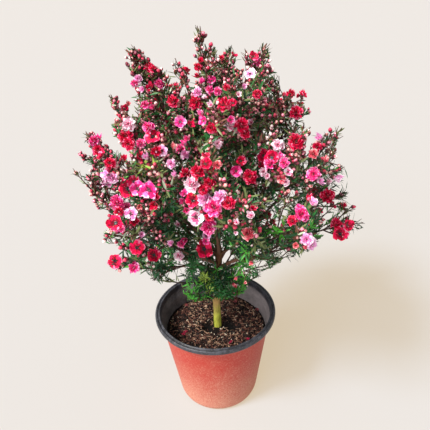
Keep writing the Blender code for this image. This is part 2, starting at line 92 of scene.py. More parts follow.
# The crown: azimuth and elevation in degrees, reach in mm, what carries the
# mass and where on it, as in the part's source
CROWN_CENTRE = Vector((6, 0, 195)) * MM
BOUGH_SHARE = 0.40
FIRST_BOUGH_RADII = (2.3 * MM, 1.5 * MM)
SECOND_BOUGH_RADII = (1.7 * MM, 1.2 * MM)
BOUGH_STEEPEST = 45
BOUGH_BOW = 0.12
BOUGH_SAG = 0.20
GAP = 0.3 * MM
Mass = namedtuple("Mass", "name azimuth elevation reach carrier place")
MASSES = tuple(
    Mass(*row)
    for row in (
        ("left", 167, 49, 211, "trunk", 206),
        ("left_top", 165, 73, 260, "left", 0.32),
        ("left_front", 192, 45, 201, "left", 0.48),
        ("left_low", 192, 28, 141, "trunk", 184),
        ("left_low_front", 214, 22, 132, "left_low", 0.45),
        ("front_left", 232, 42, 198, "trunk", 196),
        ("front", 270, 55, 216, "trunk", 211),
        ("front_top", 286, 73, 240, "front", 0.38),
        ("front_left_high", 238, 59, 222, "front", 0.55),
        ("left_high", 207, 66, 238, "front_left_high", 0.30),
        ("front_right", 306, 40, 194, "trunk", 190),
        ("front_right_low", 332, 28, 150, "front_right", 0.42),
        ("right", 351, 53, 212, "trunk", 207),
        ("right_top", 10, 77, 252, "right", 0.32),
        ("front_right_high", 322, 60, 222, "right", 0.52),
        ("right_low", 349, 23, 172, "trunk", 184),
        ("right_low_back", 11, 24, 178, "right_low", 0.36),
        ("back_right_high", 24, 59, 211, "trunk", 199),
        ("back_right_mid", 66, 50, 212, "back_right_high", 0.40),
        ("back_right", 45, 28, 188, "back_right_high", 0.26),
        ("back", 92, 28, 188, "trunk", 187),
        ("back_top", 80, 68, 240, "back", 0.26),
        ("back_left_high", 128, 55, 220, "trunk", 201),
        ("back_left", 138, 28, 186, "back_left_high", 0.34),
        ("top", 130, 87, 264, "stem", 222),
        ("skirt_left", 208, 6, 88, "stem", 166),
        ("skirt_front_right", 325, 8, 86, "stem", 163),
        ("skirt_right", 355, 6, 116, "stem", 171),
        ("skirt_back_left", 140, 4, 118, "stem", 168),
        ("skirt_back_right", 58, 4, 122, "stem", 174),
        ("sprig_left", 215, -38, 52, "stem", 150),
        ("sprig_right", 320, -35, 50, "stem", 154),
    )
)

# The rule of the shoots, as in the part's source
STALK_RADIUS = 1.0 * MM
SPRAY_RADIUS = 1.9 * MM
SIDE_SHOOT_PER = 48 * MM
SIDE_OPENING = math.radians(40)
SIDE_SPREAD, SIDE_RISE = 0.35, 0.15
SIDE_LENGTHS = (0.78, 0.98)
SIDE_TRIM = 0.85
STEM_RISE = 0.35
SIDE_FROM, SIDE_FROM_TRUNK, SIDE_TO = 0.08, 0.30, 0.60
SHORTEST_SHOOT = 24 * MM
SPACE_MARGIN = 0.5 * MM
LIMB_CLEARANCE = 0.8 * MM
LOWEST_FOLIAGE = 134 * MM

# The finer twigs of the same rule: pitch along the parent, where they start and
# end on it, how far they open, share of what is left of the parent, and an
# extra length, all lengths in mm
Order = namedtuple("Order", "pitch first last opening low high extra thick thin")
TRUNK_SPROUTS = Order(1.2, 0.0, 1.0, 62, 0.0, 0.0, 31.0, 0.55, 0.32)
FORK_SPROUTS = Order(3.4, 0.0, 1.0, 62, 0.0, 0.0, 31.0, 0.55, 0.32)
BOUGH_TWIGS = Order(6.5, 0.22, 0.98, 58, 0.0, 0.0, 34.0, 0.62, 0.34)
TWIGS = Order(8.5, 0.10, 0.90, 42, 0.30, 0.52, 10.0, 0.55, 0.32)
TIP_TWIGS = Order(4.0, 0.66, 0.98, 32, 0.15, 0.35, 6.0, 0.42, 0.28)
TWIGLETS = Order(7.0, 0.16, 0.94, 40, 0.22, 0.45, 6.0, 0.38, 0.24)
TWIGLET_PARENT = 18 * MM
SPROUTS_FROM, SPROUTS_TO = 146, 176
SHORTEST_TWIG = 6 * MM

# The crown's underside rises outwards from the trunk, and its core is thinly leaved
UNDERSIDE_LOW = 146 * MM
UNDERSIDE_RISE = 0.46
SPRIG_LOW = 140 * MM
BARE_CORE = 0.16

# Leaves: size, pitch along a twig, scatter about their spiral in radians, share
# that is cupped upwards, and share that shows its underside
LEAF_LENGTH = 9.6 * MM
LEAF_WIDTH = 1.9 * MM
LEAF_PITCH = 1.30 * MM
LEAF_SCATTER = 0.25
CUPPED_LEAVES = 0.85
SILVER_SHARE = 0.03

# Blossoms: column, row and width in the photograph's pixels, by colour
BLOOMS = {
    "crimson": (
        (148, 68, 10), (153, 69, 8), (151, 88, 12), (124, 109, 9), (200, 62, 10), (199, 67, 9),
        (222, 59, 8), (233, 56, 9), (253, 57, 11), (228, 89, 12), (196, 102, 14), (173, 102, 13),
        (224, 105, 15), (233, 103, 10), (257, 94, 10), (296, 113, 14), (153, 137, 15),
        (126, 136, 14), (129, 144, 12), (98, 151, 11), (103, 156, 12), (110, 163, 11),
        (124, 160, 9), (140, 156, 9), (156, 152, 11), (128, 189, 17), (134, 182, 12),
        (116, 223, 15), (137, 248, 14), (154, 255, 13), (115, 261, 13), (134, 222, 10),
        (119, 212, 10), (155, 204, 12), (204, 249, 18), (193, 201, 14), (229, 203, 13),
        (209, 217, 9), (206, 157, 9), (205, 164, 12), (211, 168, 11), (198, 173, 14),
        (186, 174, 10), (210, 184, 13), (203, 190, 10), (241, 126, 14), (245, 134, 10),
        (212, 128, 11), (190, 125, 9), (250, 177, 14), (241, 161, 10), (260, 164, 10),
        (264, 156, 13), (272, 158, 14), (296, 142, 16), (328, 196, 13), (308, 201, 9),
        (340, 234, 14), (347, 225, 12), (336, 225, 11), (292, 221, 10), (317, 147, 9),
        (156, 199, 10), (250, 210, 10),
    ),
    "hot_pink": (
        (134, 84, 8), (159, 84, 10), (145, 105, 9), (154, 108, 9), (201, 84, 10), (212, 81, 11),
        (210, 90, 9), (218, 91, 9), (149, 128, 11), (94, 141, 10), (99, 141, 9), (110, 171, 10),
        (138, 189, 15), (149, 190, 16), (117, 204, 14), (127, 207, 9), (120, 227, 10),
        (134, 267, 11), (116, 199, 9), (180, 122, 11), (204, 121, 10), (203, 115, 9), (188, 139, 9),
        (187, 145, 9), (180, 150, 9), (236, 171, 12), (280, 160, 10), (270, 165, 11),
        (284, 163, 10), (313, 174, 13), (299, 209, 9), (302, 214, 15), (214, 208, 17),
        (187, 210, 10), (209, 227, 15), (206, 241, 8), (186, 239, 9), (231, 120, 8), (141, 144, 9),
        (257, 63, 9), (185, 194, 9), (184, 201, 9), (182, 244, 8),
    ),
    "shell_pink": (
        (144, 89, 10), (197, 93, 11), (250, 74, 12), (148, 159, 11), (162, 151, 11), (107, 175, 11),
        (113, 178, 11), (106, 184, 10), (131, 214, 13), (185, 155, 9), (205, 200, 14),
        (221, 197, 13), (206, 236, 9), (213, 203, 8), (307, 239, 13), (311, 244, 12),
        (321, 139, 10), (334, 177, 11), (315, 205, 11), (317, 181, 11), (243, 87, 9), (176, 176, 9),
        (171, 164, 9), (141, 234, 9), (172, 243, 9), (138, 79, 9),
    ),
    "blush": (
        (129, 124, 13), (217, 144, 10), (192, 185, 15), (229, 126, 10), (251, 123, 9),
        (196, 217, 15), (179, 256, 10), (180, 248, 8), (252, 216, 11), (237, 223, 8),
        (278, 145, 12), (288, 172, 9), (268, 176, 9), (286, 182, 8), (263, 172, 8), (212, 106, 10),
        (206, 99, 8), (238, 95, 8), (235, 232, 6), (179, 225, 8), (328, 183, 9),
    ),
    "rose": (
        (248, 234, 13), (217, 165, 9), (219, 215, 8), (281, 179, 10), (296, 245, 9), (313, 154, 10),
        (140, 206, 8), (127, 105, 8), (174, 150, 9), (325, 162, 9), (230, 223, 6), (252, 262, 6),
        (237, 277, 5), (245, 281, 5), (233, 283, 5), (236, 287, 5),
    ),
}

# Those of them whose dark middle shows
DARK_EYED = {
    (153, 137), (134, 182), (128, 189), (138, 189), (149, 190), (116, 223), (131, 214), (137, 248),
    (154, 255), (115, 261), (162, 151), (180, 122), (250, 74), (264, 156), (272, 158), (193, 201),
    (196, 217), (204, 249), (311, 244), (340, 234),
}

# The crown's edge against the background, clockwise from the top
OUTLINE = (
    (201, 23), (204, 30), (207, 36), (209, 42), (206, 45), (209, 48), (212, 44), (217, 47),
    (219, 56), (224, 55), (222, 50), (228, 43), (234, 47), (237, 60), (240, 66), (247, 63),
    (239, 58), (238, 53), (244, 48), (251, 51), (257, 58), (258, 50), (261, 44), (266, 40),
    (271, 44), (273, 53), (270, 58), (271, 71), (277, 72), (281, 77), (277, 81), (281, 88),
    (279, 94), (286, 93), (292, 95), (292, 107), (298, 100), (303, 96), (307, 102), (306, 109),
    (311, 111), (311, 118), (315, 121), (309, 127), (310, 139), (304, 141), (305, 152), (310, 151),
    (311, 143), (317, 143), (316, 136), (321, 131), (331, 131), (337, 125), (345, 127), (343, 138),
    (338, 141), (336, 151), (335, 161), (330, 166), (336, 166), (342, 163), (347, 171), (349, 184),
    (342, 187), (348, 191), (349, 200), (341, 203), (344, 206), (352, 203), (356, 213), (347, 219),
    (356, 220), (363, 219), (367, 228), (358, 231), (355, 239), (347, 232), (345, 239), (338, 241),
    (332, 234), (320, 237), (319, 242), (312, 243), (312, 250), (303, 254), (299, 262), (290, 263),
    (284, 258), (280, 264), (273, 268), (263, 271), (258, 279), (250, 277), (247, 290), (240, 294),
    (226, 300), (213, 299), (200, 301), (189, 300), (183, 296), (182, 288), (187, 279), (180, 276),
    (171, 282), (164, 285), (158, 285), (151, 278), (150, 271), (144, 272), (139, 276), (137, 272),
    (128, 267), (120, 270), (112, 271), (109, 262), (112, 256), (118, 254), (122, 258), (131, 253),
    (123, 250), (112, 244), (103, 243), (103, 231), (110, 230), (116, 232), (108, 224), (112, 217),
    (108, 215), (112, 212), (105, 210), (96, 213), (97, 205), (93, 195), (88, 188), (86, 182),
    (78, 185), (75, 179), (69, 175), (72, 168), (78, 168), (86, 173), (93, 171), (86, 167),
    (82, 160), (78, 156), (81, 152), (91, 156), (95, 155), (90, 147), (85, 146), (80, 137),
    (85, 130), (93, 133), (100, 138), (107, 145), (112, 151), (119, 150), (124, 156), (128, 163),
    (133, 160), (130, 152), (125, 148), (120, 140), (112, 136), (111, 124), (116, 121), (121, 119),
    (113, 110), (110, 103), (107, 91), (115, 97), (123, 99), (120, 106), (127, 107), (132, 114),
    (137, 112), (131, 103), (131, 97), (138, 94), (131, 87), (129, 80), (132, 74), (128, 71),
    (126, 66), (130, 61), (123, 52), (127, 47), (132, 44), (139, 51), (144, 55), (150, 58),
    (152, 65), (157, 69), (162, 68), (167, 70), (169, 75), (173, 78), (174, 70), (171, 62),
    (175, 57), (179, 62), (185, 66), (188, 74), (190, 84), (190, 90), (195, 87), (198, 80),
    (196, 72), (197, 60), (194, 50), (192, 44), (196, 38), (193, 33), (196, 30), (194, 26),
)

# Gaps through which the photograph shows sky, and last the trunk: column, row, and
# half their width and height
SKY = (
    (243, 66, 5, 4), (245, 79, 5, 2), (212, 66, 2, 2), (184, 90, 4, 3), (176, 81, 4, 3),
    (137, 113, 4, 4), (134, 144, 2, 4), (124, 167, 4, 3), (92, 168, 4, 3), (280, 100, 3, 3),
    (292, 123, 3, 4), (282, 137, 2, 2), (306, 151, 3, 4), (305, 165, 2, 3), (291, 190, 4, 4),
    (276, 195, 2, 3), (266, 203, 3, 2), (282, 205, 3, 2), (266, 222, 4, 4), (277, 222, 4, 4),
    (272, 215, 2, 4), (284, 212, 2, 4), (314, 189, 2, 2), (321, 206, 2, 3), (326, 215, 6, 5),
    (333, 206, 4, 5), (326, 229, 6, 5), (251, 248, 2, 3), (259, 252, 3, 3), (277, 249, 5, 3),
    (285, 254, 3, 3), (228, 257, 5, 8), (216, 254, 2, 3), (262, 265, 6, 4), (247, 271, 2, 3),
    (178, 268, 6, 3), (170, 275, 4, 2), (166, 257, 2, 3), (118, 236, 3, 3),
    (219, 256, 4, 11),
)

# Shoots that grow to a tip the photograph shows: the mass, how far along its stem,
# and the tip's column and row
TIPS = (
    ("top", 0.50, 175, 58), ("top", 0.72, 200, 26), ("back_top", 0.55, 229, 46),
    ("back_top", 0.45, 213, 48), ("right_top", 0.50, 247, 52), ("right_top", 0.60, 254, 57),
    ("left_high", 0.55, 109, 95), ("left_top", 0.70, 128, 52), ("left_top", 0.60, 147, 59),
    ("left_top", 0.55, 161, 69), ("back_left_high", 0.60, 184, 70), ("left", 0.60, 82, 156),
    ("left_front", 0.70, 74, 171), ("left_low", 0.60, 105, 234), ("left_low_front", 0.60, 113, 262),
    ("back_right_mid", 0.70, 287, 96), ("back_right_high", 0.60, 279, 76), ("right", 0.70, 342, 166),
    ("right_low_back", 0.70, 347, 192), ("right_low", 0.60, 352, 206), ("right_low", 0.60, 340, 236),
    ("front_right_low", 0.60, 310, 247), ("skirt_left", 0.50, 168, 281),
    ("skirt_front_right", 0.40, 257, 276), ("left_top", 0.75, 134, 46), ("left_top", 0.65, 141, 53),
    ("left_top", 0.62, 149, 63), ("back_left_high", 0.62, 186, 78), ("back_right_high", 0.66, 274, 74),
    ("back_right_mid", 0.72, 290, 95), ("back_right_mid", 0.72, 303, 98),
    ("sprig_left", 0.30, 187, 292), ("sprig_left", 0.45, 191, 298), ("sprig_left", 0.20, 197, 299),
    ("sprig_left", 0.10, 206, 292), ("sprig_right", 0.10, 222, 293), ("sprig_right", 0.20, 226, 297),
    ("sprig_right", 0.30, 231, 294), ("sprig_right", 0.45, 238, 290), ("sprig_right", 0.60, 244, 286),
)

# Fresh growth: column, row, half its width and height, and its tone
FRESH = (
    (190, 288, 9, 10, "bright_green"), (206, 284, 7, 9, "lime"), (240, 276, 8, 14, "bright_green"),
    (226, 291, 7, 6, "mid_green"), (148, 171, 6, 8, "lime"), (270, 236, 6, 6, "bright_green"),
    (249, 258, 5, 5, "bright_green"),
)

# Petals and small blossoms that have dropped on the soil: column, row, width
FALLEN = {
    "A2183E": ((231, 343, 5), (185, 334, 5), (248, 340, 4)),
    "9C4A4E": ((210, 298, 4), (258, 310, 4), (186, 306, 4), (235, 302, 4)),
}

# Colours, as sRGB hex. A petal has four, from its claw to its edge, and a bud has
# one below and one above; the one above is partly its pale petals and partly a painted highlight
LEAF_TONES = {
    "bottle_green": "1B4226",
    "mid_green": "29662F",
    "olive": "6E7A49",
    "bright_green": "489C30",
    "lime": "93AE48",
    "bronze": "764E3E",
    "silver_underside": "AEBB9E",
}
PETAL_TONES = {
    "crimson": ("8A0426", "DC023E", "EE1256", "FA84A8"),
    "hot_pink": ("C01262", "F8308C", "FA72B6", "FDC0E0"),
    "shell_pink": ("E070AC", "F8A6DA", "FBCCEC", "FFF0F8"),
    "blush": ("DE5C90", "F6CCDE", "FBEAF2", "FFFCFD"),
    "rose": ("B42840", "E6566A", "F4929A", "FBCCC8"),
}
BUD_TONES = {
    "coral": ("B4384A", "F7B6B0"),
    "rose": ("A82048", "F096AA"),
    "red": ("9E1034", "E03E60"),
    "maroon": ("561626", "9C4052"),
    "pale": ("D46A7E", "FDE6E0"),
}


# Shapes

def linear(code):
    """Linear red, green, blue and alpha of an sRGB hex colour."""
    parts = [int(code[i : i + 2], 16) / 255 for i in (0, 2, 4)]
    return (*[c / 12.92 if c <= 0.04045 else ((c + 0.055) / 1.055) ** 2.4 for c in parts], 1)


def unit(vectors):
    """Vectors divided by their own lengths."""
    return vectors / np.maximum(np.linalg.norm(vectors, axis=-1, keepdims=True), 1e-12)


def put_mesh(name, points, faces, materials, which=None, smooth=True):
    """A piece from arrays: points, and faces as one index array per corner count."""
    mesh = bpy.data.meshes.new(name)
    corners = np.concatenate([part.ravel() for part in faces]).astype(np.int32)
    sizes = np.concatenate([np.full(len(part), part.shape[1]) for part in faces])
    mesh.vertices.add(len(points))
    mesh.vertices.foreach_set("co", np.ascontiguousarray(points, np.float32).ravel())
    mesh.loops.add(len(corners))
    mesh.loops.foreach_set("vertex_index", corners)
    mesh.polygons.add(len(sizes))
    mesh.polygons.foreach_set("loop_start", (np.cumsum(sizes) - sizes).astype(np.int32))
    for material in materials:
        mesh.materials.append(material)
    if which is not None:
        mesh.polygons.foreach_set("material_index", np.asarray(which, np.int32))
    mesh.update(calc_edges=True)
    if smooth:
        mesh.shade_smooth()
    else:
        mesh.shade_flat()
    piece = bpy.data.objects.new(name, mesh)
    bpy.context.scene.collection.objects.link(piece)
    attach(piece, "root")
    return piece


def lattice(rows, columns, around=False):
    """Four-cornered faces between the points of a grid, closed across if it goes around."""
    across = columns if around else columns - 1
    row, column = np.meshgrid(np.arange(rows - 1), np.arange(across), indexing="ij")
    following = (column + 1) % columns
    here, above = row * columns, (row + 1) * columns
    corners = (here + column, here + following, above + following, above + column)
    return np.stack([c.ravel() for c in corners], axis=1)


def closed_tube(points, sides, middles):
    """Points in rings of so many sides as a tube, each end closed to a middle point."""
    here = np.arange(sides)
    following = (here + 1) % sides
    foot, last = len(points), len(points) - sides
    low = np.stack([following, here, np.full(sides, foot)], axis=1)
    high = np.stack([last + here, last + following, np.full(sides, foot + 1)], axis=1)
    walls = lattice(foot // sides, sides, around=True)
    return np.concatenate([points, middles]), [walls, np.concatenate([low, high])]


def waves(points, size, seed, count=10):
    """Smooth noise, mostly from -1 to 1: a sum of sines along random ways, about size long."""
    rule = np.random.default_rng(seed)
    ways = unit(rule.normal(size=(count, 3))) * (TURN / size) * rule.uniform(0.6, 1.6, (count, 1))
    phases = rule.uniform(0, TURN, count)
    return np.sin(points @ ways.T + phases).sum(axis=-1) / math.sqrt(count * 2)


def stamp(pattern, faces, origins, axes):
    """Copies of a small shape: origin + x X + y Y + z Z for each of its points."""
    points = origins[:, None, :] + np.einsum("pk,nkj->npj", pattern, axes)
    shift = (np.arange(len(origins)) * len(pattern))[:, None, None]
    return points.reshape(-1, 3), [
        (part[None] + shift).reshape(-1, part.shape[1]) for part in faces
    ]


def gather(parts):
    """Several arrays of points and faces as one."""
    points, faces, before = [], {}, 0
    for some, kinds in parts:
        points.append(some)
        for part in kinds:
            faces.setdefault(part.shape[1], []).append(part + before)
        before += len(some)
    return np.concatenate(points), [np.concatenate(part) for part in faces.values()]


def side_axes(along):
    """Two unit vectors at right angles to each direction and to each other."""
    guide = np.where(np.abs(along[:, 2:]) < 0.9, [[0.0, 0.0, 1.0]], [[1.0, 0.0, 0.0]])
    across = unit(np.cross(along, guide))
    return across, unit(np.cross(along, across))


def turned_axes(way, turn):
    """Three axes for stamping, the last along way, the others turned about it."""
    across, upright = side_axes(way)
    c, s = np.cos(turn)[:, None], np.sin(turn)[:, None]
    return np.stack([across * c + upright * s, upright * c - across * s, way], axis=1)


# Materials

def add(tree, kind, inputs=(), **settings):
    """Adds one node. Inputs gives each socket a value or another node's output."""
    made = tree.nodes.new(kind)
    for key, value in settings.items():
        setattr(made, key, value)
    for socket, value in dict(inputs).items():
        if isinstance(value, bpy.types.NodeSocket):
            tree.links.new(value, made.inputs[socket])
        else:
            made.inputs[socket].default_value = value
    return made


# Sockets of a Mix node for colours: its two colours and its result
MIX_A, MIX_B, MIX_OUT = 6, 7, 2


def per(size_mm):
    """A texture scale at which one feature is so many millimetres long."""
    return 1000 / size_mm


def new_material(name, **sockets):
    """A Principled material with plain values, its tree, its shader and Object coordinates."""
    material = bpy.data.materials.new(name)
    material.use_nodes = True
    tree = material.node_tree
    shader = tree.nodes["Principled BSDF"]
    for socket, value in sockets.items():
        shader.inputs[socket.replace("_", " ")].default_value = value
    place = add(tree, "ShaderNodeTexCoord").outputs["Object"]
    return material, tree, shader, place


def grain(tree, shader, place, size_mm, strength, depth_mm, rough, detail=3.0):
    """Relief from noise, and roughness that follows the same noise between two values."""
    noise = add(tree, "ShaderNodeTexNoise", {"Vector": place, "Scale": per(size_mm), "Detail": detail})
    bump = add(
        tree,
        "ShaderNodeBump",
        {"Height": noise.outputs["Fac"], "Strength": strength, "Distance": depth_mm * MM},
    )
    tree.links.new(bump.outputs["Normal"], shader.inputs["Normal"])
    spread = add(
        tree, "ShaderNodeMapRange", {0: noise.outputs["Fac"], 1: 0.3, 2: 0.7, 3: rough[0], 4: rough[1]}
    )
    tree.links.new(spread.outputs[0], shader.inputs["Roughness"])


def lay_finish(tree, shader, colour, layers, height, strength, depth_mm):
    """Colours laid over a first one, each by its own share, and relief from a height."""
    for share, code in layers:
        mix = add(
            tree, "ShaderNodeMix", {0: share, MIX_A: colour, MIX_B: linear(code)}, data_type="RGBA"
        )
        colour = mix.outputs[MIX_OUT]
    tree.links.new(colour, shader.inputs["Base Color"])
    bump = add(
        tree, "ShaderNodeBump", {"Height": height, "Strength": strength, "Distance": depth_mm * MM}
    )
    tree.links.new(bump.outputs["Normal"], shader.inputs["Normal"])


def leaf_skin(name, code):
    """A waxy leaf: a plain green with a soft shine, broken by oil glands.

    The glands are 0.3 mm apart and drawn at 0.9 mm, so that they show.
    """
    material, tree, shader, place = new_material(
        name, Base_Color=linear(code), Specular_IOR_Level=0.42, IOR=1.45
    )
    grain(tree, shader, place, 0.9, 0.35, 0.10, rough=(0.34, 0.56), detail=1.0)
    return material


def petal_skin(name, code):
    """A petal: plain colour, matt, with a faint velvet edge and crinkles 1 mm apart."""
    material, tree, shader, place = new_material(
        name,
        Base_Color=linear(code),
        Sheen_Weight=0.10,
        Sheen_Roughness=0.4,
        Specular_IOR_Level=0.2,
    )
    grain(tree, shader, place, 1.1, 0.5, 0.18, rough=(0.5, 0.7), detail=1.0)
    return material


def twig_skin(name, code):
    """Young bark: plain colour, dull, with fine wrinkles drawn at 0.8 mm."""
    material, tree, shader, place = new_material(name, Base_Color=linear(code))
    grain(tree, shader, place, 0.8, 0.6, 0.12, rough=(0.6, 0.85))
    return material


def bud_skin(name, code):
    """A closed bud: smooth, slightly glossy petals, with folds 1.4 mm apart."""
    material, tree, shader, place = new_material(
        name, Base_Color=linear(code), Specular_IOR_Level=0.5, Coat_Weight=0.15
    )
    grain(tree, shader, place, 1.4, 0.35, 0.15, rough=(0.32, 0.5), detail=1.0)
    return material


def bark_skin(name, low, tan, high, crack, from_height, to_height, ridge_mm):
    """Living bark: one colour passes into another up the stem, with dark fine cracks.

    The cracks are stretched lengthwise four times, as the bark's fibres run.
    """
    material, tree, shader, place = new_material(name, Specular_IOR_Level=0.3, Roughness=0.72)
    split = add(tree, "ShaderNodeSeparateXYZ", {0: place})
    patches = add(tree, "ShaderNodeTexNoise", {"Vector": place, "Scale": per(9.0), "Detail": 3.0})
    height = add(
        tree, "ShaderNodeMapRange", {0: split.outputs["Z"], 1: from_height * MM, 2: to_height * MM}
    )
    wander = add(
        tree,
        "ShaderNodeMath",
        {0: patches.outputs["Fac"], 1: 0.30, 2: height.outputs[0]},
        operation="MULTIPLY_ADD",
    )
    ramp = add(tree, "ShaderNodeValToRGB", {0: wander.outputs[0]})
    steps = ramp.color_ramp.elements
    steps[0].position, steps[0].color = 0.25, linear(low)
    steps[1].position, steps[1].color = 0.95, linear(high)
    middle = steps.new(0.55)
    middle.color = linear(tan)
    stretch = add(tree, "ShaderNodeMapping", {"Vector": place, "Scale": (1.0, 1.0, 0.25)})
    fibres = add(
        tree,
        "ShaderNodeTexNoise",
        {"Vector": stretch.outputs[0], "Scale": per(ridge_mm), "Detail": 5.0, "Roughness": 0.65},
    )
    dark = add(tree, "ShaderNodeMapRange", {0: fibres.outputs["Fac"], 1: 0.50, 2: 0.34, 4: 0.7})
    cracks = ((dark.outputs[0], crack),)
    lay_finish(tree, shader, ramp.outputs["Color"], cracks, fibres.outputs["Fac"], 0.5, 0.4)
    return material


def pot_red():
    """Injection-moulded polypropylene in terracotta red, weathered outdoors.

    Lime and dust leave it paler and speckled towards the foot, and the specks
    stand up a little; roughness is high where the dust lies.
    """
    material, tree, shader, place = new_material(
        "moulded_terracotta_polypropylene", IOR=1.49, Specular_IOR_Level=0.35
    )
    split = add(tree, "ShaderNodeSeparateXYZ", {0: place})
    cloud = add(tree, "ShaderNodeTexNoise", {"Vector": place, "Scale": per(22), "Detail": 5.0})
    specks = add(
        tree, "ShaderNodeTexNoise", {"Vector": place, "Scale": per(2.0), "Detail": 6.0, "Roughness": 0.82}
    )
    faded = add(tree, "ShaderNodeMapRange", {0: split.outputs["Z"], 1: 92 * MM, 2: 2 * MM})
    blot = add(
        tree,
        "ShaderNodeMath",
        {0: cloud.outputs["Fac"], 1: 0.9, 2: faded.outputs[0]},
        operation="MULTIPLY_ADD",
    )
    dusty = add(tree, "ShaderNodeMapRange", {0: blot.outputs[0], 1: 0.45, 2: 1.35, 3: 0.0, 4: 0.75})
    settled = add(
        tree,
        "ShaderNodeMath",
        {0: faded.outputs[0], 1: 0.13, 2: specks.outputs["Fac"]},
        operation="MULTIPLY_ADD",
    )
    shown = add(tree, "ShaderNodeMapRange", {0: settled.outputs[0], 1: 0.51, 2: 0.72, 3: 0.0, 4: 0.54})
    rough = add(tree, "ShaderNodeMapRange", {0: blot.outputs[0], 1: 0.3, 2: 1.3, 3: 0.46, 4: 0.8})
    tree.links.new(rough.outputs[0], shader.inputs["Roughness"])
    layers = ((dusty.outputs[0], "B8765F"), (shown.outputs[0], "DAA892"))
    lay_finish(tree, shader, linear("AC3427"), layers, specks.outputs["Fac"], 0.25, 0.3)
    return material


def pot_black():
    """The pot's black polypropylene lining and rim: satin, scuffed grey, with dried dust.

    The dust is specks all over. Below the lip lies a paler film, partly dust and partly
    painted light: it is thickest on the right, where the inner wall faces the window light.
    """
    material, tree, shader, place = new_material("moulded_black_polypropylene", IOR=1.49)
    split = add(tree, "ShaderNodeSeparateXYZ", {0: place})
    scuffs = add(
        tree, "ShaderNodeTexNoise", {"Vector": place, "Scale": per(7), "Detail": 6.0, "Roughness": 0.68}
    )
    dust = add(tree, "ShaderNodeTexNoise", {"Vector": place, "Scale": per(1.6), "Detail": 3.0})
    worn = add(tree, "ShaderNodeMapRange", {0: scuffs.outputs["Fac"], 1: 0.46, 2: 0.72})
    spots = add(tree, "ShaderNodeMapRange", {0: dust.outputs["Fac"], 1: 0.62, 2: 0.74, 3: 0.0, 4: 0.5})
    # Painted light: the film below the lip grows towards +x, where the inner wall faces the window light
    lit_side = add(
        tree, "ShaderNodeMapRange", {0: split.outputs["X"], 1: -45 * MM, 2: 45 * MM, 3: -0.32, 4: 0.16}
    )
    patchy = add(
        tree,
        "ShaderNodeMath",
        {0: scuffs.outputs["Fac"], 1: 1.40, 2: lit_side.outputs[0]},
        operation="MULTIPLY_ADD",
    )
    # The paler film below the lip (8A8180), partly dust and partly painted light on the lit wall
    below_lip = add(tree, "ShaderNodeMapRange", {0: split.outputs["Z"], 1: 124.5 * MM, 2: 121 * MM})
    dust_and_painted_light = add(
        tree, "ShaderNodeMath", {0: below_lip.outputs[0], 1: patchy.outputs[0]}, operation="MULTIPLY"
    )
    rough = add(tree, "ShaderNodeMapRange", {0: scuffs.outputs["Fac"], 1: 0.35, 2: 0.7, 3: 0.34, 4: 0.62})
    tree.links.new(rough.outputs[0], shader.inputs["Roughness"])
    layers = ((worn.outputs[0], "54555E"), (spots.outputs[0], "9A928C"), (dust_and_painted_light.outputs[0], "8A8180"))
    lay_finish(tree, shader, linear("27282D"), layers, scuffs.outputs["Fac"], 0.2, 0.3)
    return material


def soil_skin():
    """Moist peat under the bits: nearly black, broken by brown crumbs 2 mm across, with painted shade that
    blackens the hollows.
    """
    material, tree, shader, place = new_material(
        "moist_peat_and_coir", Specular_IOR_Level=0.25, Roughness=0.93
    )
    crumbs = add(
        tree, "ShaderNodeTexNoise", {"Vector": place, "Scale": per(2.4), "Detail": 6.0, "Roughness": 0.7}
    )
    share = add(tree, "ShaderNodeMapRange", {0: crumbs.outputs["Fac"], 1: 0.42, 2: 0.66})
    split = add(tree, "ShaderNodeSeparateXYZ", {0: place})
    # Painted shade: the crumbs fade to black where the soil lies 1 to 5 mm below its level, in the hollows
    deep = add(
        tree, "ShaderNodeMapRange", {0: split.outputs["Z"], 1: SOIL_LEVEL - 1 * MM, 2: SOIL_LEVEL - 5 * MM}
    )
    layers = ((share.outputs[0], "2E1D17"), (deep.outputs[0], "0A0706"))
    lay_finish(tree, shader, linear("0B0605"), layers, crumbs.outputs["Fac"], 0.9, 1.2)
    return material


# The rule of the limbs, as in the part's source

Limb = namedtuple("Limb", "start bend end start_radius end_radius")


def side_vectors(along):
    """Two unit vectors at right angles to a direction and to each other."""
    guide = Vector((0, 0, 1)) if abs(along.z) < 0.9 else Vector((1, 0, 0))
    across = along.cross(guide).normalized()
    return across, along.cross(across).normalized()


def point_on(limb, t):
    """The point (1-t)^2 start + 2t(1-t) bend + t^2 end."""
    return limb.start * (1 - t) ** 2 + limb.bend * (2 * t * (1 - t)) + limb.end * t**2


def heading(limb, t):
    """Unit tangent of the limb's curve."""
    slope = (limb.bend - limb.start) * (1 - t) + (limb.end - limb.bend) * t
    return slope.normalized()


def limb_length(limb):
    """Length of the limb's curve, measured along eight chords."""
    steps = [point_on(limb, i / 8) for i in range(9)]
    return sum((b - a).length for a, b in zip(steps, steps[1:]))


def ray(azimuth, elevation):
    """Unit vector towards an azimuth and an elevation in degrees."""
    a, e = math.radians(azimuth), math.radians(elevation)
    return Vector((math.cos(a) * math.cos(e), math.sin(a) * math.cos(e), math.sin(e)))


def trunk_at(height):
    """Centre and radius of the trunk at a height in mm, between its stations."""
    for low, high in zip(TRUNK_STATIONS, TRUNK_STATIONS[1:]):
        if height <= high[0]:
            break
    share = (height - low[0]) / (high[0] - low[0])
    z, x, y, radius = (a + (b - a) * share for a, b in zip(low, high))
    return Vector((x, y, z)) * MM, radius * MM


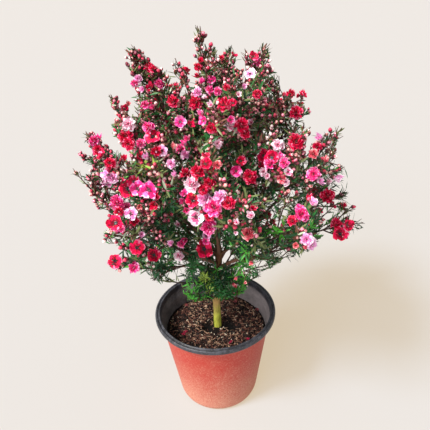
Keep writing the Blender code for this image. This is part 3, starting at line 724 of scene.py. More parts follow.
def plan_boughs():
    """The boughs as limbs, from the trunk or from a bough planned before."""
    boughs = {}
    for mass in MASSES:
        if mass.carrier == "stem":
            continue
        towards = ray(mass.azimuth, mass.elevation)
        end = CROWN_CENTRE + towards * (mass.reach * MM * BOUGH_SHARE)
        if mass.carrier == "trunk":
            start = trunk_at(mass.place)[0]
            radii = FIRST_BOUGH_RADII
            lean = ray(mass.azimuth, min(mass.elevation, BOUGH_STEEPEST))
        else:
            start = point_on(boughs[mass.carrier], mass.place)
            radii = SECOND_BOUGH_RADII
            lean = (end - start).normalized()
        bow = (lean - UP * BOUGH_SAG) * (end - start).length * BOUGH_BOW
        bend = start.lerp(end, 0.5) + bow
        boughs[mass.name] = Limb(start, bend, end, *radii)
    return boughs


def in_space(point, mass, margin):
    """Whether a point lies in the mass's own cone, between it and each neighbour."""
    own = ray(mass.azimuth, mass.elevation)
    from_centre = point - CROWN_CENTRE
    for other in MASSES:
        if other is mass:
            continue
        away = (own - ray(other.azimuth, other.elevation)).normalized()
        if from_centre.dot(away) < margin:
            return False
    return point.z > LOWEST_FOLIAGE


def clear_of(points, limbs, clearance):
    """Whether every point keeps the clearance from the surface of every limb."""
    for limb in limbs:
        steps = [point_on(limb, i / 6) for i in range(7)]
        wide = max(limb.start_radius, limb.end_radius) + clearance
        for a, b in zip(steps, steps[1:]):
            for p in points:
                foot, share = intersect_point_line(p, a, b)
                foot = a if share < 0 else b if share > 1 else foot
                if (p - foot).length < wide:
                    return False
    return True


def main_shoot(mass, boughs):
    """The mass's own stem: from its bough's tip, or from the trunk, to its far tip."""
    towards = ray(mass.azimuth, mass.elevation)
    end = CROWN_CENTRE + towards * mass.reach * MM
    if mass.name in boughs:
        bough = boughs[mass.name]
        way = heading(bough, 1)
        start = bough.end + way * GAP
    else:
        start = trunk_at(mass.place)[0]
        way = (towards + UP * STEM_RISE).normalized()
        if mass.name == "top":
            way = UP
            start = start + way * GAP
    bend = start + way * (end - start).length * 0.5
    return Limb(start, bend, end, STALK_RADIUS, STALK_RADIUS)


def side_shoots(mass, stem, limbs):
    """Shoots that leave the stem by turns of the golden angle and curve outwards."""
    rule = random.Random(mass.name)
    count = max(2, round(mass.reach * MM / SIDE_SHOOT_PER))
    phase = rule.uniform(0, TURN)
    whole = limb_length(stem)
    shoots = []
    for k in range(count):
        first = SIDE_FROM if mass.carrier != "stem" else SIDE_FROM_TRUNK
        t = first + (SIDE_TO - first) * k / max(count - 1, 1)
        start, along = point_on(stem, t), heading(stem, t)
        across, upright = side_vectors(along)
        turn = phase + GOLDEN_ANGLE * k
        out = across * math.cos(turn) + upright * math.sin(turn)
        leave = along * math.cos(SIDE_OPENING) + out * math.sin(SIDE_OPENING)
        finish_way = (along + out * SIDE_SPREAD + UP * SIDE_RISE).normalized()
        length = whole * (1 - t) * rule.uniform(*SIDE_LENGTHS)
        while length > SHORTEST_SHOOT:
            bend = start + leave * length * 0.5
            end = bend + finish_way * length * 0.5
            shoot = Limb(start, bend, end, STALK_RADIUS, STALK_RADIUS)
            probes = [point_on(shoot, i / 12) for i in range(2, 13)]
            if all(in_space(p, mass, SPRAY_RADIUS + SPACE_MARGIN) for p in probes) and clear_of(
                probes, limbs, SPRAY_RADIUS + LIMB_CLEARANCE
            ):
                shoots.append(shoot)
                break
            length *= SIDE_TRIM
    return shoots


# Twigs as arrays, on the same curves: start, bend and end of each, its two
# radii, and the number of its mass

Twigs = namedtuple("Twigs", "start bend end thick thin mass")


def as_twigs(limbs, masses, thick, thin):
    """Limbs as arrays, with new radii for the wood under the leaves."""
    ends = [np.array([getattr(limb, part) for limb in limbs]) for part in ("start", "bend", "end")]
    count = len(limbs)
    return Twigs(*ends, np.full(count, thick), np.full(count, thin), np.array(masses))


def join_twigs(*some):
    """Several sets of twigs as one."""
    return Twigs(*(np.concatenate(parts) for parts in zip(*some)))


def curve(twigs, t):
    """Points (1-t)^2 start + 2t(1-t) bend + t^2 end, for one or more shares a twig."""
    spread = (slice(None),) + (None,) * (t.ndim - 1)
    t = t[..., None]
    return (
        twigs.start[spread] * (1 - t) ** 2
        + twigs.bend[spread] * (2 * t * (1 - t))
        + twigs.end[spread] * t**2
    )


def slope(twigs, t):
    """Unit tangents of the same curves."""
    spread = (slice(None),) + (None,) * (t.ndim - 1)
    t = t[..., None]
    return unit(
        (twigs.bend - twigs.start)[spread] * (1 - t) + (twigs.end - twigs.bend)[spread] * t
    )


def even_shares(twigs, count):
    """Evenly spaced shares from 0 to 1, the same for each twig."""
    return np.tile(np.linspace(0, 1, count), (len(twigs.start), 1))


def twig_lengths(twigs):
    """Length of each twig, measured along eight chords."""
    steps = np.diff(curve(twigs, even_shares(twigs, 9)), axis=1)
    return np.linalg.norm(steps, axis=-1).sum(axis=1)


def pick(twigs, which):
    """Some of the twigs, by their numbers or by a mask."""
    return Twigs(*(part[which] for part in twigs))


def places_on(twigs, pitch, first, last, rule):
    """Evenly pitched places: the twig's number, the place's rank, and its share."""
    room = twig_lengths(twigs) * (last - first) / pitch
    count = np.floor(room + rule.random(len(room))).astype(int)
    parent = np.repeat(np.arange(len(count)), count)
    rank = np.arange(len(parent)) - np.repeat(np.cumsum(count) - count, count)
    t = first + (last - first) * (rank + 0.5) / count[parent]
    return parent, rank, t


SPRIGS = np.array([mass.name.startswith("sprig") for mass in MASSES])


def high_enough(points, masses, slack):
    """Whether points lie above the crown's underside: low + rise times the way out."""
    away = np.hypot(points[:, 0] - CROWN_CENTRE.x, points[:, 1] - CROWN_CENTRE.y)
    lowest = np.where(SPRIGS[masses], SPRIG_LOW, UNDERSIDE_LOW + UNDERSIDE_RISE * away)
    return points[:, 2] > lowest - slack


def spiral_out(twigs, parent, rank, along, rule, spread=0.0):
    """Unit vectors straight out from twigs, each one golden angle on from the last.

    Every twig's first has a random turn, and spread in radians scatters them all.
    """
    across, upright = side_axes(along)
    turn = (rule.uniform(0, TURN, len(twigs.start))[parent] + GOLDEN_ANGLE * rank)[:, None]
    if spread:
        turn = turn + rule.normal(0, spread, turn.shape)
    return across * np.cos(turn) + upright * np.sin(turn)


def branch(twigs, order, rule):
    """Side twigs by the rule of side_shoots: golden-angle turns, opening then curving out."""
    parent, rank, t = places_on(twigs, order.pitch * MM, order.first, order.last, rule)
    on = pick(twigs, parent)
    start, along = curve(on, t), slope(on, t)
    out = spiral_out(twigs, parent, rank, along, rule)
    opening = np.radians(order.opening * rule.uniform(0.8, 1.2, (len(parent), 1)))
    leave = along * np.cos(opening) + out * np.sin(opening)
    finish_way = unit(along + out * SIDE_SPREAD + np.array([0, 0, SIDE_RISE]))
    length = twig_lengths(twigs)[parent] * (1 - t) * rule.uniform(order.low, order.high, len(parent))
    length = (length + order.extra * MM * rule.uniform(0.7, 1.3, len(parent)))[:, None]
    bend = start + leave * length * 0.5
    end = bend + finish_way * length * 0.5
    thick, thin = np.full(len(parent), order.thick * MM), np.full(len(parent), order.thin * MM)
    made = Twigs(start, bend, end, thick, thin, on.mass)
    return cut_back(pick(made, high_enough(bend, on.mass, 0) & high_enough(end, on.mass, 0)))


# How far a shoot of TIPS hangs below its chord, as a share of its length
TIP_SAG = 0.06


def tip_shoots(stems):
    """The shoots of TIPS, as deep in the picture as their mass's own tip."""
    names = [mass.name for mass in MASSES]
    made = []
    for name, share, column, row in TIPS:
        stem = stems[name]
        start = point_on(stem, share)
        end = CAMERA_AT + sight(column, row) * depth_of(stem.end)
        bend = start.lerp(end, 0.5) - UP * (end - start).length * TIP_SAG
        made.append(Limb(start, bend, end, STALK_RADIUS, STALK_RADIUS))
    return as_twigs(made, [names.index(row[0]) for row in TIPS], 0.8 * MM, 0.4 * MM)


def outwards(points, masses):
    """How far out a point lies: its distance from the crown's centre over the mass's reach."""
    reach = np.array([mass.reach * MM for mass in MASSES])[masses]
    return np.linalg.norm(points - np.array(CROWN_CENTRE), axis=1) / reach


def twig_tubes(twigs, sides, rings):
    """Tapering tubes: centre(t) + radius(t) (across cos a + upright sin a), ends closed."""
    count = len(twigs.start)
    t = even_shares(twigs, rings)
    centres, along = curve(twigs, t), slope(twigs, t)
    across, _ = side_axes(along[:, 0])
    across = across[:, None] - along * (along * across[:, None]).sum(-1, keepdims=True)
    across = unit(across)
    upright = np.cross(along, across)
    radius = (twigs.thick[:, None] + (twigs.thin - twigs.thick)[:, None] * t)[..., None, None]
    turn = (np.arange(sides) / sides * TURN)[None, None, :, None]
    ring = across[:, :, None] * np.cos(turn) + upright[:, :, None] * np.sin(turn)
    points = centres[:, :, None] + ring * radius
    size = rings * sides
    shift = (np.arange(count) * size)[:, None, None]
    walls = (lattice(rings, sides, around=True)[None] + shift).reshape(-1, 4)
    foot = (np.arange(sides)[::-1][None, None] + shift).reshape(-1, sides)
    tip = (np.arange(size - sides, size)[None, None] + shift).reshape(-1, sides)
    return points.reshape(-1, 3), [walls, np.concatenate([foot, tip])]


# Small shapes, each a grid of two parameters

def leaf_shape():
    """A narrow pointed blade of unit length: two rows of three across, a keel and a droop.

    Half its width swells from nothing to one at a third and closes at the tip.
    """
    u = np.array([0.34, 0.34, 0.34, 0.70, 0.70, 0.70])
    v = np.array([-1.0, 0.0, 1.0, -1.0, 0.0, 1.0])
    half = np.where(u < 0.5, 0.5, 0.37)
    rise = 0.30 * np.abs(v) * half - 0.25 * u**2 * 0.5
    rows = np.stack([u, v * half, rise], axis=1)
    points = np.concatenate([[[0, 0, 0]], rows, [[1, 0, -0.14]]])
    threes = np.array([(0, 2, 1), (0, 3, 2), (4, 5, 7), (5, 6, 7)])
    fours = np.array([(1, 2, 5, 4), (2, 3, 6, 5)])
    return points, [threes, fours]


def petal_shape(petals, cup, lift, turn=0.0, radius=1.0, seed=0, breadth=1.0):
    """A ring of rounded, ruffled petals, no two alike in lift, width, reach and turn.

    Half-width swells from a narrow claw to 0.48 and closes to a round rim. Height
    is lift + cup r^1.5, with a fold along the middle and a wave along the rim. The
    zone of a face, from 0 for deep to 3 for pale, goes by its row, with painted light
    and shade on top: a random third of the petals are one step paler, and random
    faces are one step deeper or paler, as painted shade and painted highlight.
    """
    rule = np.random.default_rng(seed)
    columns = np.linspace(-1, 1, 5)
    u, v = np.meshgrid([0.0, 0.42, 0.80, 1.0], columns, indexing="ij")
    half = np.broadcast_to(np.array([0.08, 0.39, 0.48, 0.31])[:, None], u.shape)
    points, zone = [], []
    for k in range(petals):
        a = turn + TURN * k / petals + rule.normal(0, 0.08)
        long, wide = rule.uniform(0.86, 1.06), rule.uniform(0.86, 1.12) * breadth
        own_cup, twist = cup + rule.normal(0, 0.16), rule.normal(0, 0.20)
        reach = (0.22 + 0.78 * u) * long - 0.15 * v**2 * u
        wave = 0.10 * np.cos(4.2 * v + rule.uniform(0, TURN)) * u**2
        height = lift + own_cup * reach**1.5 + twist * v * u + 0.06 * v**2 * u + wave - 0.06 * u**3
        flat = np.stack([reach, v * half * wide, height], axis=-1).reshape(-1, 3)
        spin = np.array([[math.cos(a), math.sin(a), 0], [-math.sin(a), math.cos(a), 0], [0, 0, 1]])
        points.append(flat @ spin * [radius, radius, 1])
        # Painted light and shade: a random third of the petals one step paler, random faces one step deeper
        # or paler
        shade = rule.choice([0, 0, 1]) + rule.choice([-1, 0, 0, 0, 1], 12)
        zone.append(np.clip(np.repeat([0, 1, 2], 4) + shade, 0, 3))
    shift = (np.arange(petals) * u.size)[:, None, None]
    faces = (lattice(4, 5)[None] + shift).reshape(-1, 4)
    return np.concatenate(points), [faces], np.concatenate(zone)


def turned_shape(profile, sides):
    """A solid of revolution about z through (radius, height) pairs, its ends closed."""
    radius, height = np.array(profile).T
    turn = np.arange(sides) / sides * TURN
    ring = np.stack([np.cos(turn), np.sin(turn)], axis=-1)
    points = np.concatenate(
        [radius[:, None, None] * ring[None], np.broadcast_to(height[:, None, None], (len(radius), sides, 1))],
        axis=-1,
    ).reshape(-1, 3)
    return closed_tube(points, sides, [[0, 0, height[0]], [0, 0, height[-1]]])


# Stamens drawn in each open blossom
STAMENS = 14


def stamen_shape():
    """A ring of thin upright blades, leaning outwards, each with a small head."""
    turn = np.arange(STAMENS) / STAMENS * TURN
    spoke = np.stack([np.cos(turn), np.sin(turn), np.zeros(STAMENS)], axis=1)
    side = np.stack([-np.sin(turn), np.cos(turn), np.zeros(STAMENS)], axis=1)
    lift = np.array([0, 0, 1.0])
    foot, neck, head = spoke * 0.25, spoke * 0.33 + lift * 0.20, spoke * 0.35 + lift * 0.26
    corners = [foot - side * 0.014, foot + side * 0.014, neck + side * 0.014, neck - side * 0.014]
    corners += [neck - side * 0.032, neck + side * 0.032, head + side * 0.026, head - side * 0.026]
    points = np.stack(corners, axis=1).reshape(-1, 3)
    shift = (np.arange(STAMENS) * 8)[:, None]
    blades, heads = np.arange(4)[None] + shift, np.arange(4, 8)[None] + shift
    return points, [np.concatenate([blades, heads])], np.repeat([0, 1], STAMENS)


def chip_shape(bend):
    """A bent bar of unit length: four corners round a centre line that bows by bend."""
    s = np.linspace(0, 1, 5)[:, None]
    turn = np.array([0.25, 0.75, 1.25, 1.75])[None] * math.pi
    thick = 0.5 * (0.45 + 0.55 * np.sin(math.pi * (0.12 + 0.76 * s)))
    x = np.broadcast_to(s - 0.5, (5, 4))
    y = bend * (1 - (2 * s - 1) ** 2) / 0.2 + np.cos(turn) * thick
    z = np.sin(turn) * thick
    points = np.stack([x, y, z], axis=-1).reshape(-1, 3)
    ends = np.array([(3, 2, 1, 0), (16, 17, 18, 19)])
    return points, [np.concatenate([lattice(5, 4, around=True), ends])]


# The pot

def wall_radius(height):
    """Radius of the pot's outer wall below the ledge, which tapers evenly."""
    top = POT_RIM_RADIUS - RIM_WIDTH + POT_WALL - LEDGE_STEP
    share = height / (POT_HEIGHT - LEDGE_DEPTH)
    return POT_FOOT_RADIUS + (top - POT_FOOT_RADIUS) * share


def rounded(profile):
    """The profile with its corners cut at a quarter of each side, twice over."""
    line = np.array(profile)
    for _ in range(2):
        behind, ahead = line[:-1], line[1:]
        cut = np.stack([behind * 0.75 + ahead * 0.25, behind * 0.25 + ahead * 0.75], axis=1)
        line = np.concatenate([line[:1], cut.reshape(-1, 2), line[-1:]])
    return line


# Faces round the pot
POT_SEGMENTS = 192


def make_pot():
    """Two skins moulded as one: the red outside, and the black lining with its rim.

    Each is a profile of radius and height, and the two share the seam between
    them, half a wall deep.
    """
    ledge = POT_HEIGHT - LEDGE_DEPTH
    under_rim = POT_HEIGHT - RIM_DEPTH
    collar = POT_RIM_RADIUS - RIM_WIDTH + POT_WALL - 1.0 * MM
    mouth = POT_RIM_RADIUS - RIM_WIDTH
    half = POT_WALL / 2
    seam = [
        (POT_FOOT_RADIUS - 10 * MM, POT_FLOOR / 2),
        (POT_FOOT_RADIUS - 6 * MM, 2.2 * MM),
        (wall_radius(10 * MM) - half, 10 * MM),
        (wall_radius(ledge) - half, ledge),
        (collar - half - COLLAR_FLARE, ledge + LEDGE_STEP),
    ]
    # Up the inside, over the grooved rim, and down the seam
    lining = [
        (POT_FOOT_RADIUS - 10 * MM, POT_FLOOR),
        (POT_FOOT_RADIUS - 5 * MM, POT_FLOOR + 1.0 * MM),
        (wall_radius(10 * MM) - POT_WALL, 10 * MM),
        (wall_radius(ledge * 0.5) - POT_WALL, ledge * 0.5),
        (wall_radius(ledge) - POT_WALL, ledge - 0.6 * MM),
        (wall_radius(ledge) - POT_WALL + 0.3 * MM, ledge + 0.2 * MM),
        (collar - POT_WALL - COLLAR_FLARE, ledge + LEDGE_STEP),
        (mouth - 0.30 * MM, 121.5 * MM),
        (mouth - 0.75 * MM, 122.3 * MM),
        (mouth - 0.25 * MM, 123.2 * MM),
        (mouth, POT_HEIGHT - 2.6 * MM),
        (mouth + 0.3 * MM, POT_HEIGHT - 0.5 * MM),
        (mouth + 1.1 * MM, POT_HEIGHT),
        (mouth + 2.1 * MM, POT_HEIGHT - 0.3 * MM),
        (mouth + 2.6 * MM, POT_HEIGHT - 1.5 * MM),
        (mouth + 3.3 * MM, POT_HEIGHT - 1.5 * MM),
        (mouth + 3.9 * MM, POT_HEIGHT - 0.5 * MM),
        (mouth + 4.9 * MM, POT_HEIGHT - 0.2 * MM),
        (POT_RIM_RADIUS - 0.4 * MM, POT_HEIGHT - 0.8 * MM),
        (POT_RIM_RADIUS, POT_HEIGHT - 2.2 * MM),
        (POT_RIM_RADIUS, under_rim + 0.9 * MM),
        (POT_RIM_RADIUS - 0.7 * MM, under_rim),
        (collar, under_rim),
        (collar - half, under_rim - 0.4 * MM),
        *reversed(seam),
    ]
    # Up the seam, down the collar, and over the ledge to the rounded foot
    outside = [
        *seam,
        (collar - half, under_rim - 0.2 * MM),
        (collar - 0.1 * MM, under_rim - 0.2 * MM),
        (collar - COLLAR_FLARE, ledge + LEDGE_STEP + 0.4 * MM),
        (wall_radius(ledge) + 0.2 * MM, ledge + 0.3 * MM),
        (wall_radius(ledge - 1.2 * MM), ledge - 1.2 * MM),
        (wall_radius(60 * MM), 60 * MM),
        (wall_radius(12.0 * MM), 12.0 * MM),
        (wall_radius(8.0 * MM), 8.0 * MM),
        (wall_radius(5.0 * MM) - 0.6 * MM, 5.0 * MM),
        (POT_FOOT_RADIUS - 1.2 * MM, 2.4 * MM),
        (POT_FOOT_RADIUS - 4.0 * MM, 0.3 * MM),
        (POT_FOOT_RADIUS - 6.5 * MM, 0),
        (POT_FOOT_RADIUS - 9 * MM, 0),
    ]
    made = []
    for name, profile, material in (
        ("pot_black_lining", lining, pot_black()),
        ("pot_red_outside", outside, pot_red()),
    ):
        points, faces = turned_shape(rounded(profile), POT_SEGMENTS)
        made.append(put_mesh(name, points, faces, [material]))
    drill_drains(made)
    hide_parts("pot")


def drill_drains(skins):
    """Cuts the drain holes through both skins, with pins on a circle round the middle."""
    turn = (np.arange(DRAIN_HOLES) + 0.5) / DRAIN_HOLES * TURN
    centres = np.stack([np.cos(turn), np.sin(turn), np.zeros(DRAIN_HOLES)], axis=1) * DRAIN_CIRCLE
    axes = np.tile(np.diag([DRAIN_RADIUS, DRAIN_RADIUS, 4 * POT_FLOOR]), (DRAIN_HOLES, 1, 1))
    pin, pin_faces = turned_shape([(1, -1), (1, 1)], 24)
    points, faces = stamp(pin, pin_faces, centres, axes)
    drills = put_mesh("drills", points, faces, [])
    for skin in skins:
        cut = skin.modifiers.new("drains", "BOOLEAN")
        cut.object = drills
        cut.operation = "DIFFERENCE"
        cut.solver = "MANIFOLD"
        graph = bpy.context.evaluated_depsgraph_get()
        bored = bpy.data.meshes.new_from_object(skin.evaluated_get(graph))
        skin.modifiers.clear()
        skin.data = bored
    bpy.data.objects.remove(drills)


# The soil

SOIL_RADIUS = wall_radius(SOIL_LEVEL) - POT_WALL + 0.1 * MM
FOOT_X, FOOT_Y = TRUNK_STATIONS[0][1] * MM, TRUNK_STATIONS[0][2] * MM

# Hollows round the trunk's foot: place from it in x and y, width and depth, in mm
HOLLOWS = ((-13, -4, 7, 8.0), (15, -5, 9, 8.0), (2, -13, 7, 2.5))

# Bits that lie on the soil: name, colour, how many, and lengths and widths in mm
SOIL_BITS = (
    ("soil_dark_bits", "1E120F", 1000, (2.4, 5.6), (0.9, 1.9)),
    ("soil_brown_bits", "683E32", 860, (2.6, 6.6), (0.7, 1.5)),
    ("soil_tan_bits", "B08C72", 620, (2.6, 6.4), (0.6, 1.2)),
    ("soil_pale_bits", "E4D4BC", 150, (1.2, 2.6), (0.7, 1.4)),
)

# They keep off the trunk, and few lie where the soil is this far below its level
ROOM_ROUND_TRUNK = 6.5 * MM
HOLLOW_DEPTH = 2.6 * MM
BITS_IN_HOLLOWS = 0.12


def soil_height(x, y):
    """Level + swells 34 mm and crumbs 7 mm across, less the hollows and a fall at the edge.

    Each hollow is its depth times e^-(distance over width)^2, and the swells die
    away within 12 mm of the trunk.
    """
    flat = np.stack([x, y, np.zeros_like(x)], axis=-1)
    swell = waves(flat, 34 * MM, 3) * 1.3 * MM + waves(flat, 7 * MM, 4) * 0.8 * MM
    away = np.hypot(x - FOOT_X, y - FOOT_Y)
    hollow = 0.0
    for place_x, place_y, wide, deep in HOLLOWS:
        gap = np.hypot(x - FOOT_X - place_x * MM, y - FOOT_Y - place_y * MM) / (wide * MM)
        hollow = hollow + deep * MM * np.exp(-(gap**2))
    calm = np.clip(away / (12 * MM), 0, 1)
    edge = np.hypot(x, y) / SOIL_RADIUS
    return SOIL_LEVEL + swell * calm - hollow - 1.5 * MM * edge**6


def make_soil():
    """A column of peat with a heaped and crumbly top, which fills the pot to its floor."""
    rings, spokes = 84, 260
    share = np.linspace(0.002, 1, rings)[:, None]
    turn = np.arange(spokes)[None] / spokes * TURN
    x, y = share * SOIL_RADIUS * np.cos(turn), share * SOIL_RADIUS * np.sin(turn)
    top = np.stack([x, y, soil_height(x, y)], axis=-1)
    top[..., 2] += waves(top, 2.6 * MM, 5, 16) * 0.5 * MM
    floor = POT_FLOOR + 0.2 * MM
    column = [top.reshape(-1, 3)]
    for height, radius in (
        (SOIL_LEVEL - 6 * MM, wall_radius(SOIL_LEVEL - 6 * MM) - POT_WALL),
        (11 * MM, wall_radius(11 * MM) - POT_WALL),
        (floor, POT_FOOT_RADIUS - 10 * MM),
    ):
        ring = np.stack([radius * np.cos(turn[0]), radius * np.sin(turn[0])], axis=-1)
        column.append(np.concatenate([ring, np.full((spokes, 1), height)], axis=1))
    middles = [[0, 0, top[0, :, 2].mean()], [0, 0, floor]]
    points, faces = closed_tube(np.concatenate(column), spokes, middles)
    faces = [part[:, ::-1] for part in faces]
    soil = put_mesh("soil_surface", points, faces, [soil_skin()])
    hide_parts("soil")


def strew_bits(rule):
    """Chips, fibres and pale bits over the soil, each tilted and turned, few in the hollows.

    Those at the edge are drawn in, so that they stay within the pot.
    """
    for name, code, count, lengths, widths in SOIL_BITS:
        radius = SOIL_RADIUS * 0.985 * np.sqrt(rule.random(count))
        angle = rule.uniform(0, TURN, count)
        x, y = radius * np.cos(angle), radius * np.sin(angle)
        high = soil_height(x, y) > SOIL_LEVEL - HOLLOW_DEPTH
        away = np.hypot(x - FOOT_X, y - FOOT_Y) > ROOM_ROUND_TRUNK
        free = away & (high | (rule.random(count) < BITS_IN_HOLLOWS))
        x, y = x[free], y[free]
        count = len(x)
        length = rule.uniform(*lengths, count) * MM
        width = rule.uniform(*widths, count) * MM
        tilt = rule.normal(0, 0.38, count)
        yaw = rule.uniform(0, TURN, count)
        way = np.stack([np.cos(yaw) * np.cos(tilt), np.sin(yaw) * np.cos(tilt), np.sin(tilt)], axis=1)
        side = unit(np.cross(np.array([[0, 0, 1.0]]), way))
        top_way = np.cross(way, side)
        lift = soil_height(x, y) + width * 0.30 + np.abs(np.sin(tilt)) * length * 0.25
        origins = np.stack([x, y, lift], axis=1)
        room = SOIL_RADIUS - 0.2 * MM
        taken = np.hypot(x, y) + length * 0.5 + width * 2.5
        origins[:, :2] *= (room / np.maximum(taken, room))[:, None]
        axes = np.stack([way * length[:, None], side * width[:, None], top_way * width[:, None]], axis=1)
        parts = []
        for bend, low, high in ((0.05, 0.0, 0.3), (0.30, 0.3, 0.65), (0.6, 0.65, 1.0)):
            chosen = slice(int(count * low), int(count * high))
            parts.append(stamp(*chip_shape(bend), origins[chosen], axes[chosen]))
        points, faces = gather(parts)
        material, tree, shader, place = new_material(name + "_bark_and_coir", Base_Color=linear(code))
        grain(tree, shader, place, 1.1, 0.7, 0.2, rough=(0.75, 0.95))
        put_mesh(name, points, faces, [material], smooth=False)


# The bark

def bark_tube(centres, radii, sides, ridge, seed):
    """A tube whose radius carries lengthwise ridges, swellings and shallow cracks.

    Radius = own radius + ridge (0.35 sine ridges that twist slowly + 0.65 waves).
    """
    along = unit(np.gradient(centres, axis=0))
    across = side_axes(along[:1])[0]
    across = unit(across - along * (along * across).sum(-1, keepdims=True))
    upright = np.cross(along, across)
    turn = np.arange(sides)[None] / sides * TURN
    spoke = across[:, None] * np.cos(turn)[..., None] + upright[:, None] * np.sin(turn)[..., None]
    rough = centres[:, None] + spoke * radii[:, None, None]
    travel = np.linspace(0, 1, len(centres))[:, None]
    ridges = np.sin(5 * turn + 4 * travel + seed) + 0.6 * np.sin(9 * turn - 7 * travel + 2 * seed)
    fine = waves(rough * [1, 1, 0.3], 2.6 * MM, seed, 14) + 0.6 * waves(rough, 9 * MM, seed + 1)
    relief = ridge * (0.35 * ridges + 0.65 * fine)
    points = centres[:, None] + spoke * (radii[:, None] + relief)[..., None]
    return closed_tube(points.reshape(-1, 3), sides, centres[[0, -1]])


# The trunk's greatest radius at its foot, and its share of that under the ridges
TRUNK_WIDEST = 5.1 * MM
UNDER_RIDGES = 0.94


def make_trunk():
    """The trunk from just under the soil to its fork, its stations joined smoothly.

    It is a little thinner than its stations, because the ridges stand out from it.
    """
    table = np.array(TRUNK_STATIONS) * MM
    height = np.linspace(96 * MM, table[-1, 0], 190)
    x, y = (np.interp(height, table[:, 0], table[:, k]) for k in (1, 2))
    radius = np.interp(height, table[:, 0], table[:, 3])
    radius = np.minimum(radius, TRUNK_WIDEST) * UNDER_RIDGES
    smooth = np.hanning(9) / np.hanning(9).sum()
    x, y, radius = (
        np.convolve(np.pad(line, 4, mode="edge"), smooth, mode="valid") for line in (x, y, radius)
    )
    centres = np.stack([x, y, height], axis=1)
    points, faces = bark_tube(centres, radius, sides=40, ridge=0.28 * MM, seed=11)
    skin = bark_skin(
        "living_bark_green_to_brown",
        low="BCC04A", tan="B8945A", high="70452F", crack="7A7030",
        from_height=104, to_height=190, ridge_mm=1.6,
    )
    trunk = put_mesh("trunk_bark_relief", points, faces, [skin])
    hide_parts("trunk")


def make_boughs(boughs):
    """All boughs, each along its limb's curve, with finer relief than the trunk's."""
    parts = []
    for number, limb in enumerate(boughs.values()):
        one = as_twigs([limb], [0], limb.start_radius, limb.end_radius)
        t = np.linspace(0, 1, 48)[None]
        centres = curve(one, t)[0]
        radii = limb.start_radius + (limb.end_radius - limb.start_radius) * t[0]
        parts.append(bark_tube(centres, radii, sides=14, ridge=0.14 * MM, seed=20 + number))
    points, faces = gather(parts)
    skin = bark_skin(
        "living_bark_red_brown",
        low="6E4636", tan="74503E", high="7E5644", crack="33211C",
        from_height=150, to_height=330, ridge_mm=1.2,
    )
    piece = put_mesh("bough_bark_relief", points, faces, [skin])
    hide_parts(*("bough_" + name for name in boughs))


# The crown

def camera_axes():
    """Right, up and forward of the camera, as unit vectors."""
    level = Vector((0, math.sin(CAMERA_PITCH), math.cos(CAMERA_PITCH)))
    forward = Vector((0, math.cos(CAMERA_PITCH), -math.sin(CAMERA_PITCH)))
    c, s = math.cos(CAMERA_ROLL), math.sin(CAMERA_ROLL)
    right = Vector((1, 0, 0)) * c - level * s
    up = Vector((1, 0, 0)) * s + level * c
    return right, up, forward


def photo_place(points):
    """Column, row and distance of points in the photograph's frame."""
    right, up, forward = (np.array(axis) for axis in camera_axes())
    away = points - np.array(CAMERA_AT)
    depth = away @ forward
    half = FRAME_SIDE / 2
    return half + FOCAL * (away @ right) / depth, half - FOCAL * (away @ up) / depth, depth


def depth_of(point):
    """Distance of one point from the camera, straight forward."""
    return photo_place(np.array([point]))[2][0]


def outline_mask():
    """For each pixel of the photograph's frame, whether it lies within the outline."""
    corner = np.array(OUTLINE, float)
    ahead = np.roll(corner, -1, axis=0)
    row, column = np.mgrid[0:FRAME_SIDE, 0:FRAME_SIDE] + 0.5
    inside = np.zeros(row.shape, bool)
    for (x0, y0), (x1, y1) in zip(corner, ahead):
        if y0 != y1:
            at = x0 + (row - y0) * (x1 - x0) / (y1 - y0)
            inside ^= ((y0 > row) != (y1 > row)) & (column < at)
    return inside


def in_outline(points):
    """Whether points fall within the crown's outline, seen by the camera."""
    column, row, _ = photo_place(points)
    row, column = (np.clip(part, 0, FRAME_SIDE - 1).astype(int) for part in (row, column))
    return WITHIN[row, column]


def clear_of_sky(points):
    """Whether points leave the gaps open through which the photograph shows sky."""
    column, row, _ = photo_place(points)
    clear = np.ones(len(points), bool)
    for middle, height, wide, tall in SKY:
        clear &= ((column - middle) / wide) ** 2 + ((row - height) / tall) ** 2 > 1
    return clear


def cut_back(twigs):
    """Twigs cut where they would leave the crown's outline or underside; short ones go.

    A cut one keeps its shape in small: its bend and its end move in by one share.
    """
    t = even_shares(twigs, 17)
    points = curve(twigs, t).reshape(-1, 3)
    inside = in_outline(points) & high_enough(points, np.repeat(twigs.mass, t.shape[1]), 10 * MM)
    inside = inside.reshape(t.shape)
    first_out = t[np.arange(len(t)), np.argmin(inside, axis=1)] - 0.5 / 16
    share = np.where(inside.all(axis=1), 1.0, np.maximum(first_out, 0))
    end = curve(twigs, share)
    bend = twigs.start + (twigs.bend - twigs.start) * share[:, None]
    made = Twigs(twigs.start, bend, end, twigs.thick, twigs.thin, twigs.mass)
    return pick(made, twig_lengths(made) > SHORTEST_TWIG)


def sight(column, row):
    """The way from the camera through a place in the photograph, one unit forward."""
    right, up, forward = camera_axes()
    half = FRAME_SIDE / 2
    return forward + right * ((column - half) / FOCAL) + up * ((half - row) / FOCAL)


def on_soil(column, row):
    """Where the line of sight through a pixel meets the soil's level."""
    way = sight(column, row)
    reach = (SOIL_LEVEL - CAMERA_AT.z) / way.z
    return CAMERA_AT + way * reach


WITHIN = outline_mask()

# The side in pixels of the cells within which the nearest spots count as in view
CELL = 8
Spots = namedtuple("Spots", "root way outer mass twig")


def bloom_spots(twigs, pitch, first, rule):
    """Places on twigs where a blossom or bud can sit, and the way that it would face."""
    parent, rank, t = places_on(twigs, pitch, first, 1.0, rule)
    on = pick(twigs, parent)
    root, along = curve(on, t), slope(on, t)
    out = spiral_out(twigs, parent, rank, along, rule)
    from_centre = unit(root - np.array(CROWN_CENTRE))
    way = unit(out + along * 0.5 + from_centre * 0.6 + np.array([0, 0, 0.25]))
    return Spots(root, way, outwards(root, on.mass), on.mass, parent)


